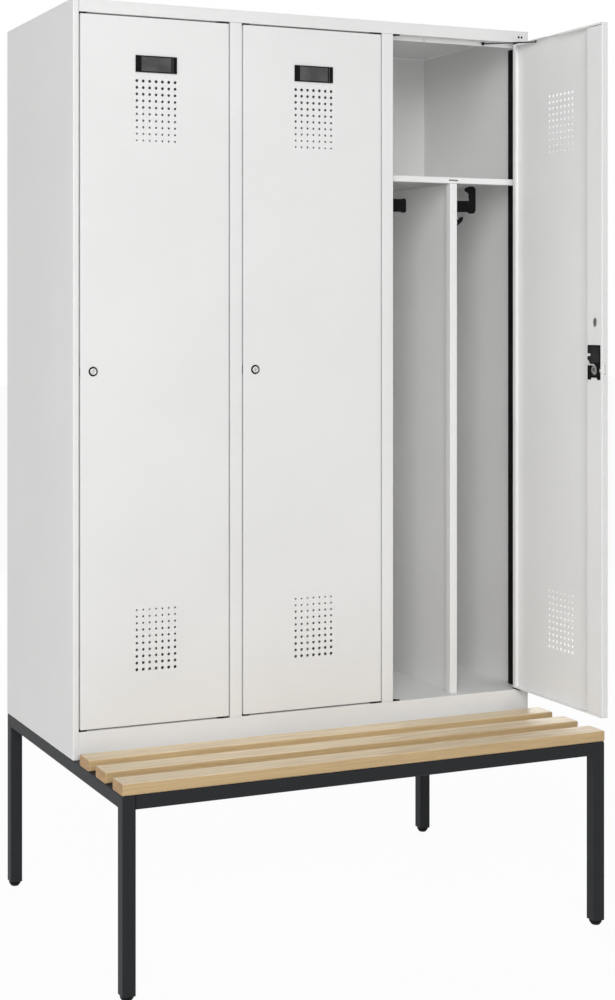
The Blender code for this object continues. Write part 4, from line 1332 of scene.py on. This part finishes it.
def stay_turn(bay):
    """How far the bay's stay is turned on its door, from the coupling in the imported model."""
    joint = bay.node("stay_rod") + "_pivot"
    for coupling in frame["record"]["behaviour"]["couplings"]:
        if coupling["joint"] == joint:
            return coupling["ratio"] * bay.angle
    raise ValueError(joint + " has no coupling")


def make_stays():
    """Stay rods: bent wire with an upturned stem at the door and a ball under the top rail."""
    wire, stem_past_flange = 0.0015, 0.0008
    low, high = on_door("stay_rod")
    start = pivot_on_door("stay_rod")
    knob = sizes().stay_ball
    stem_top = Vector((start.x, start.y, door_ends()[1] + stem_past_flange))
    end = Vector((low.x + knob, high.y - knob, OPENING_TOP - SEAM - knob))
    rod = join(
        cylinder("stay_rod_shape", start, end, wire, 16),
        cylinder("stem", start, stem_top, wire, 16),
        ball(start, wire, 16),
        ball(end, knob, 24),
    )
    pivot = Matrix.Translation(start)

    def turned(bay):
        return pivot @ Matrix.Rotation(stay_turn(bay), 4, "Z") @ pivot.inverted()

    settle_on_doors(rod, "stay_wire", "stay_rod", "wire", "stay_rod", offset=turned)


class LOCKER_OT_stays(bpy.types.Operator):
    """Model the rods that stop the doors"""

    bl_idname = "locker.stays"
    bl_label = "Door stays"

    def execute(self, context):
        make_stays()
        return {"FINISHED"}


# Bench


def make_end_frames():
    """Legs and side rail from square tube with rounded corners, mitred and welded."""
    for side in ("left", "right"):
        node = "end_frame_" + side
        low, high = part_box(node)
        tube = high.x - low.x
        front, back, under = low.y + tube, high.y - tube, high.z - tube
        outline = (
            (low.y, low.z), (front, low.z), (front, under), (back, under), (back, low.z),
            (high.y, low.z), (high.y, high.z), (low.y, high.z),
        )
        legs = traced("end_tubes_" + side, outline, "X", low.x, high.x)
        above_cut = low.z + SEAM
        with editing(legs):
            round_folds(
                sizes().tube_rounding, 4, lambda edge: folded(edge) and middle(edge).z > above_cut
            )
        settle(legs, "locker", "tube", node)


def make_rails():
    """Square-tube rails between the end frames."""
    for node in ("front_rail", "cross_rail", "back_rail"):
        rail = block(node + "_tube", *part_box(node))
        with editing(rail):
            round_folds(sizes().tube_rounding, 4, runs_along)
        settle(rail, "locker", "tube", node)


def make_slats():
    """Wooden slats with rounded long edges and lightly broken ends; their upright faces carry painted shade."""
    broken_edge = 0.0012
    # A face shows the wood of a side that its normal points to at least this much: the upright front and back
    # faces get the same wood painted darker as shade, the ends get end grain
    facing = 0.6
    for place in ("front", "middle", "back"):
        node = "bench_slat_" + place
        slat = block(node + "_board", *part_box(node))
        with editing(slat):
            round_folds(sizes().slat_rounding, 4, runs_along)
        soften(slat, broken_edge, 2, 60)
        settle(slat, "locker", "wood", node)
        for index, finish, axis in ((1, "shaded_wood_side", AXES["Y"]), (2, "end_grain", AXES["X"])):
            slat.data.materials.append(look(finish))
            slat.active_material_index = index
            with editing(slat):
                pick("FACE", lambda face: abs(face.normal.dot(axis)) > facing)
                bpy.ops.object.material_slot_assign()


def open_end(obj, up):
    """Remove an upright bar's top face, or its bottom face when up is -1."""
    level_enough = 0.9
    with editing(obj):
        pick("FACE", lambda face: face.normal.z * up > level_enough)
        bpy.ops.mesh.delete(type="ONLY_FACE")


def make_feet():
    """Tapered glides: a round collar over a tapered foot, made from a cylinder and a cone."""
    collar_share, foot_radius, rounding = 0.6, 0.0095, 0.0012
    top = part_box("end_frame_left")[0].z - SEAM
    for node in ("foot_front_left", "foot_front_right", "foot_back_left", "foot_back_right"):
        low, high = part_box(node)
        radius = (high.x - low.x) / 2
        ground = Vector(((low.x + high.x) / 2, (low.y + high.y) / 2, 0))
        collar = ground + AXES["Z"] * (top * collar_share)
        foot = cylinder(node + "_glide", collar, ground + AXES["Z"] * top, radius, 40)
        taper = cylinder("taper", ground, collar, foot_radius, 40, radius)
        open_end(taper, 1)
        open_end(foot, -1)
        foot = join(foot, taper)
        with editing(foot):
            pick_all()
            bpy.ops.mesh.remove_doubles(threshold=SAME)
            bpy.ops.mesh.normals_make_consistent(inside=False)
        soften(foot, rounding, 3, 20)
        settle(foot, "locker", "plastic", node)


class LOCKER_OT_bench(bpy.types.Operator):
    """Model the tube frame, its feet and the wooden seat"""

    bl_idname = "locker.bench"
    bl_label = "Bench"

    def execute(self, context):
        make_end_frames()
        make_rails()
        make_slats()
        make_feet()
        return {"FINISHED"}


# Stage

# The photograph's frame in pixels, and the camera's vanishing point and focal length in it
PHOTO_WIDTH = 615
PHOTO_HEIGHT = 1000
VANISHING_COLUMN = 175.0
HORIZON_ROW = 316.7
FOCAL_PIXELS = 1711.7
CAMERA_YAW = math.radians(22.528)
CAMERA_FROM_CORNER = Vector((-1.2511, -3.6090, 1.41636))
SENSOR = 36.0

# Each lamp's place, size and power
LAMPS = {
    "key_light": ((-2.7, -5.7, 4.2), 4.0, 238),
    "front_light": ((-3.0, -6.2, 1.8), 4.0, 98),
    "left_light": ((-4.6, -0.4, 1.6), 3.0, 36),
    "rear_light": ((2.0, 4.5, 2.6), 3.0, 120),
}
SURROUNDINGS = 0.13
# How much of the floor's brightness in the picture is even, without shadows
FLOOR_GLOW = 0.955
FLOOR_GREY, FLOOR_ROUGHNESS, FLOOR_SIZE = 0.9, 0.9, 60


def background_share(tree):
    """1 where the camera, a reflection or a transparent piece sees a surface, else 0."""
    path = tree.nodes.new("ShaderNodeLightPath")
    seen = path.outputs["Is Camera Ray"]
    for kind in ("Is Glossy Ray", "Is Transmission Ray"):
        largest = tree.nodes.new("ShaderNodeMath")
        largest.operation = "MAXIMUM"
        tree.links.new(seen, largest.inputs[0])
        tree.links.new(path.outputs[kind], largest.inputs[1])
        seen = largest.outputs[0]
    return seen


def blend_shaders(tree, share, first, second, output):
    """Feed an output with two shaders, the second at a share."""
    blend = tree.nodes.new("ShaderNodeMixShader")
    for socket, source in enumerate((share, first.outputs[0], second.outputs[0])):
        tree.links.new(source, blend.inputs[socket])
    tree.links.new(blend.outputs[0], tree.nodes[output].inputs["Surface"])


def make_floor_plane():
    """Large pale floor that keeps a faint shadow."""
    bpy.ops.mesh.primitive_plane_add(size=FLOOR_SIZE)
    floor = bpy.context.object
    floor.name = "studio_floor"
    material = bpy.data.materials.new("studio_floor")
    material.use_nodes = True
    tree = material.node_tree
    shader = tree.nodes["Principled BSDF"]
    shader.inputs["Base Color"].default_value = (FLOOR_GREY, FLOOR_GREY, FLOOR_GREY, 1)
    shader.inputs["Roughness"].default_value = FLOOR_ROUGHNESS
    shader.inputs["Specular IOR Level"].default_value = 0.0
    glow = tree.nodes.new("ShaderNodeEmission")
    share = tree.nodes.new("ShaderNodeMath")
    share.operation = "MULTIPLY"
    share.inputs[1].default_value = FLOOR_GLOW
    tree.links.new(background_share(tree), share.inputs[0])
    blend_shaders(tree, share.outputs[0], shader, glow, "Material Output")
    floor.data.materials.append(material)
    floor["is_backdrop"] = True


def make_world():
    """Even white surroundings, dimmer as a light than in the picture."""
    world = bpy.data.worlds.new("studio")
    bpy.context.scene.world = world
    world.use_nodes = True
    tree = world.node_tree
    light = tree.nodes["Background"]
    light.inputs["Strength"].default_value = SURROUNDINGS
    white = tree.nodes.new("ShaderNodeBackground")
    for background in (light, white):
        background.inputs["Color"].default_value = (1, 1, 1, 1)
    blend_shaders(tree, background_share(tree), light, white, "World Output")


def make_lamps():
    """Square soft lights that face the middle of the locker."""
    target = Vector((0, 0, TOP / 2))
    for name, (place, size, power) in LAMPS.items():
        turn = (target - Vector(place)).to_track_quat("-Z", "Y").to_euler()
        bpy.ops.object.light_add(type="AREA", location=place, rotation=turn)
        lamp = bpy.context.object
        lamp.name = name
        lamp.data.shape = "SQUARE"
        lamp.data.size = size
        lamp.data.energy = power


def make_camera():
    """The photograph's viewpoint: a level camera with its frame shifted right and down."""
    place = Vector((LEFT, FRONT, 0)) + CAMERA_FROM_CORNER
    bpy.ops.object.camera_add(location=place, rotation=(math.radians(90), 0, -CAMERA_YAW))
    camera = bpy.context.object
    camera.name = "photo_camera"
    camera.data.sensor_width = SENSOR
    camera.data.lens = FOCAL_PIXELS * SENSOR / PHOTO_HEIGHT
    camera.data.shift_x = (PHOTO_WIDTH / 2 - VANISHING_COLUMN) / PHOTO_HEIGHT
    camera.data.shift_y = (HORIZON_ROW - PHOTO_HEIGHT / 2) / PHOTO_HEIGHT
    bpy.context.scene.camera = camera


class LOCKER_OT_stage(bpy.types.Operator):
    """Set up the floor, the surroundings, the lamps and the camera"""

    bl_idname = "locker.stage"
    bl_label = "Stage"

    def execute(self, context):
        context.scene.view_settings.view_transform = "Standard"
        make_floor_plane()
        make_world()
        make_lamps()
        make_camera()
        return {"FINISHED"}


OPERATORS = (
    LOCKER_OT_body,
    LOCKER_OT_fittings,
    LOCKER_OT_doors,
    LOCKER_OT_locks,
    LOCKER_OT_stays,
    LOCKER_OT_bench,
    LOCKER_OT_stage,
)
SETTINGS = {"locker_sizes": LockerSizes, "locker_vents": VentSizes, "locker_colours": LockerColours}


class LOCKER_PT_panel(bpy.types.Panel):
    """Sidebar panel that lists the steps and their settings"""

    bl_label = "Locker with bench"
    bl_idname = "LOCKER_PT_panel"
    bl_space_type = "VIEW_3D"
    bl_region_type = "UI"
    bl_category = "Locker"

    def draw(self, context):
        for group in SETTINGS:
            settings = getattr(context.scene, group)
            column = self.layout.column()
            for name in settings.__annotations__:
                column.prop(settings, name)
        for operator in OPERATORS:
            self.layout.operator(operator.bl_idname)


def register():
    for settings in SETTINGS.values():
        bpy.utils.register_class(settings)
    for name, settings in SETTINGS.items():
        setattr(bpy.types.Scene, name, PointerProperty(type=settings))
    for operator in OPERATORS:
        bpy.utils.register_class(operator)
    bpy.utils.register_class(LOCKER_PT_panel)


def unregister():
    bpy.utils.unregister_class(LOCKER_PT_panel)
    for operator in reversed(OPERATORS):
        bpy.utils.unregister_class(operator)
    for name, settings in SETTINGS.items():
        delattr(bpy.types.Scene, name)
        bpy.utils.unregister_class(settings)


def write_sizes():
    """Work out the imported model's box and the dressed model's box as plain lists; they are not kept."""
    boxes = {"cad": CAD_BOX, "visual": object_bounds()}
    plain = {name: [list(corner) for corner in box] for name, box in boxes.items()}


def main():
    register()
    bpy.ops.locker.body()
    bpy.ops.locker.fittings()
    bpy.ops.locker.doors()
    bpy.ops.locker.locks()
    bpy.ops.locker.stays()
    bpy.ops.locker.bench()
    bpy.ops.locker.stage()
    write_sizes()


if __name__ == "__main__":
    main()
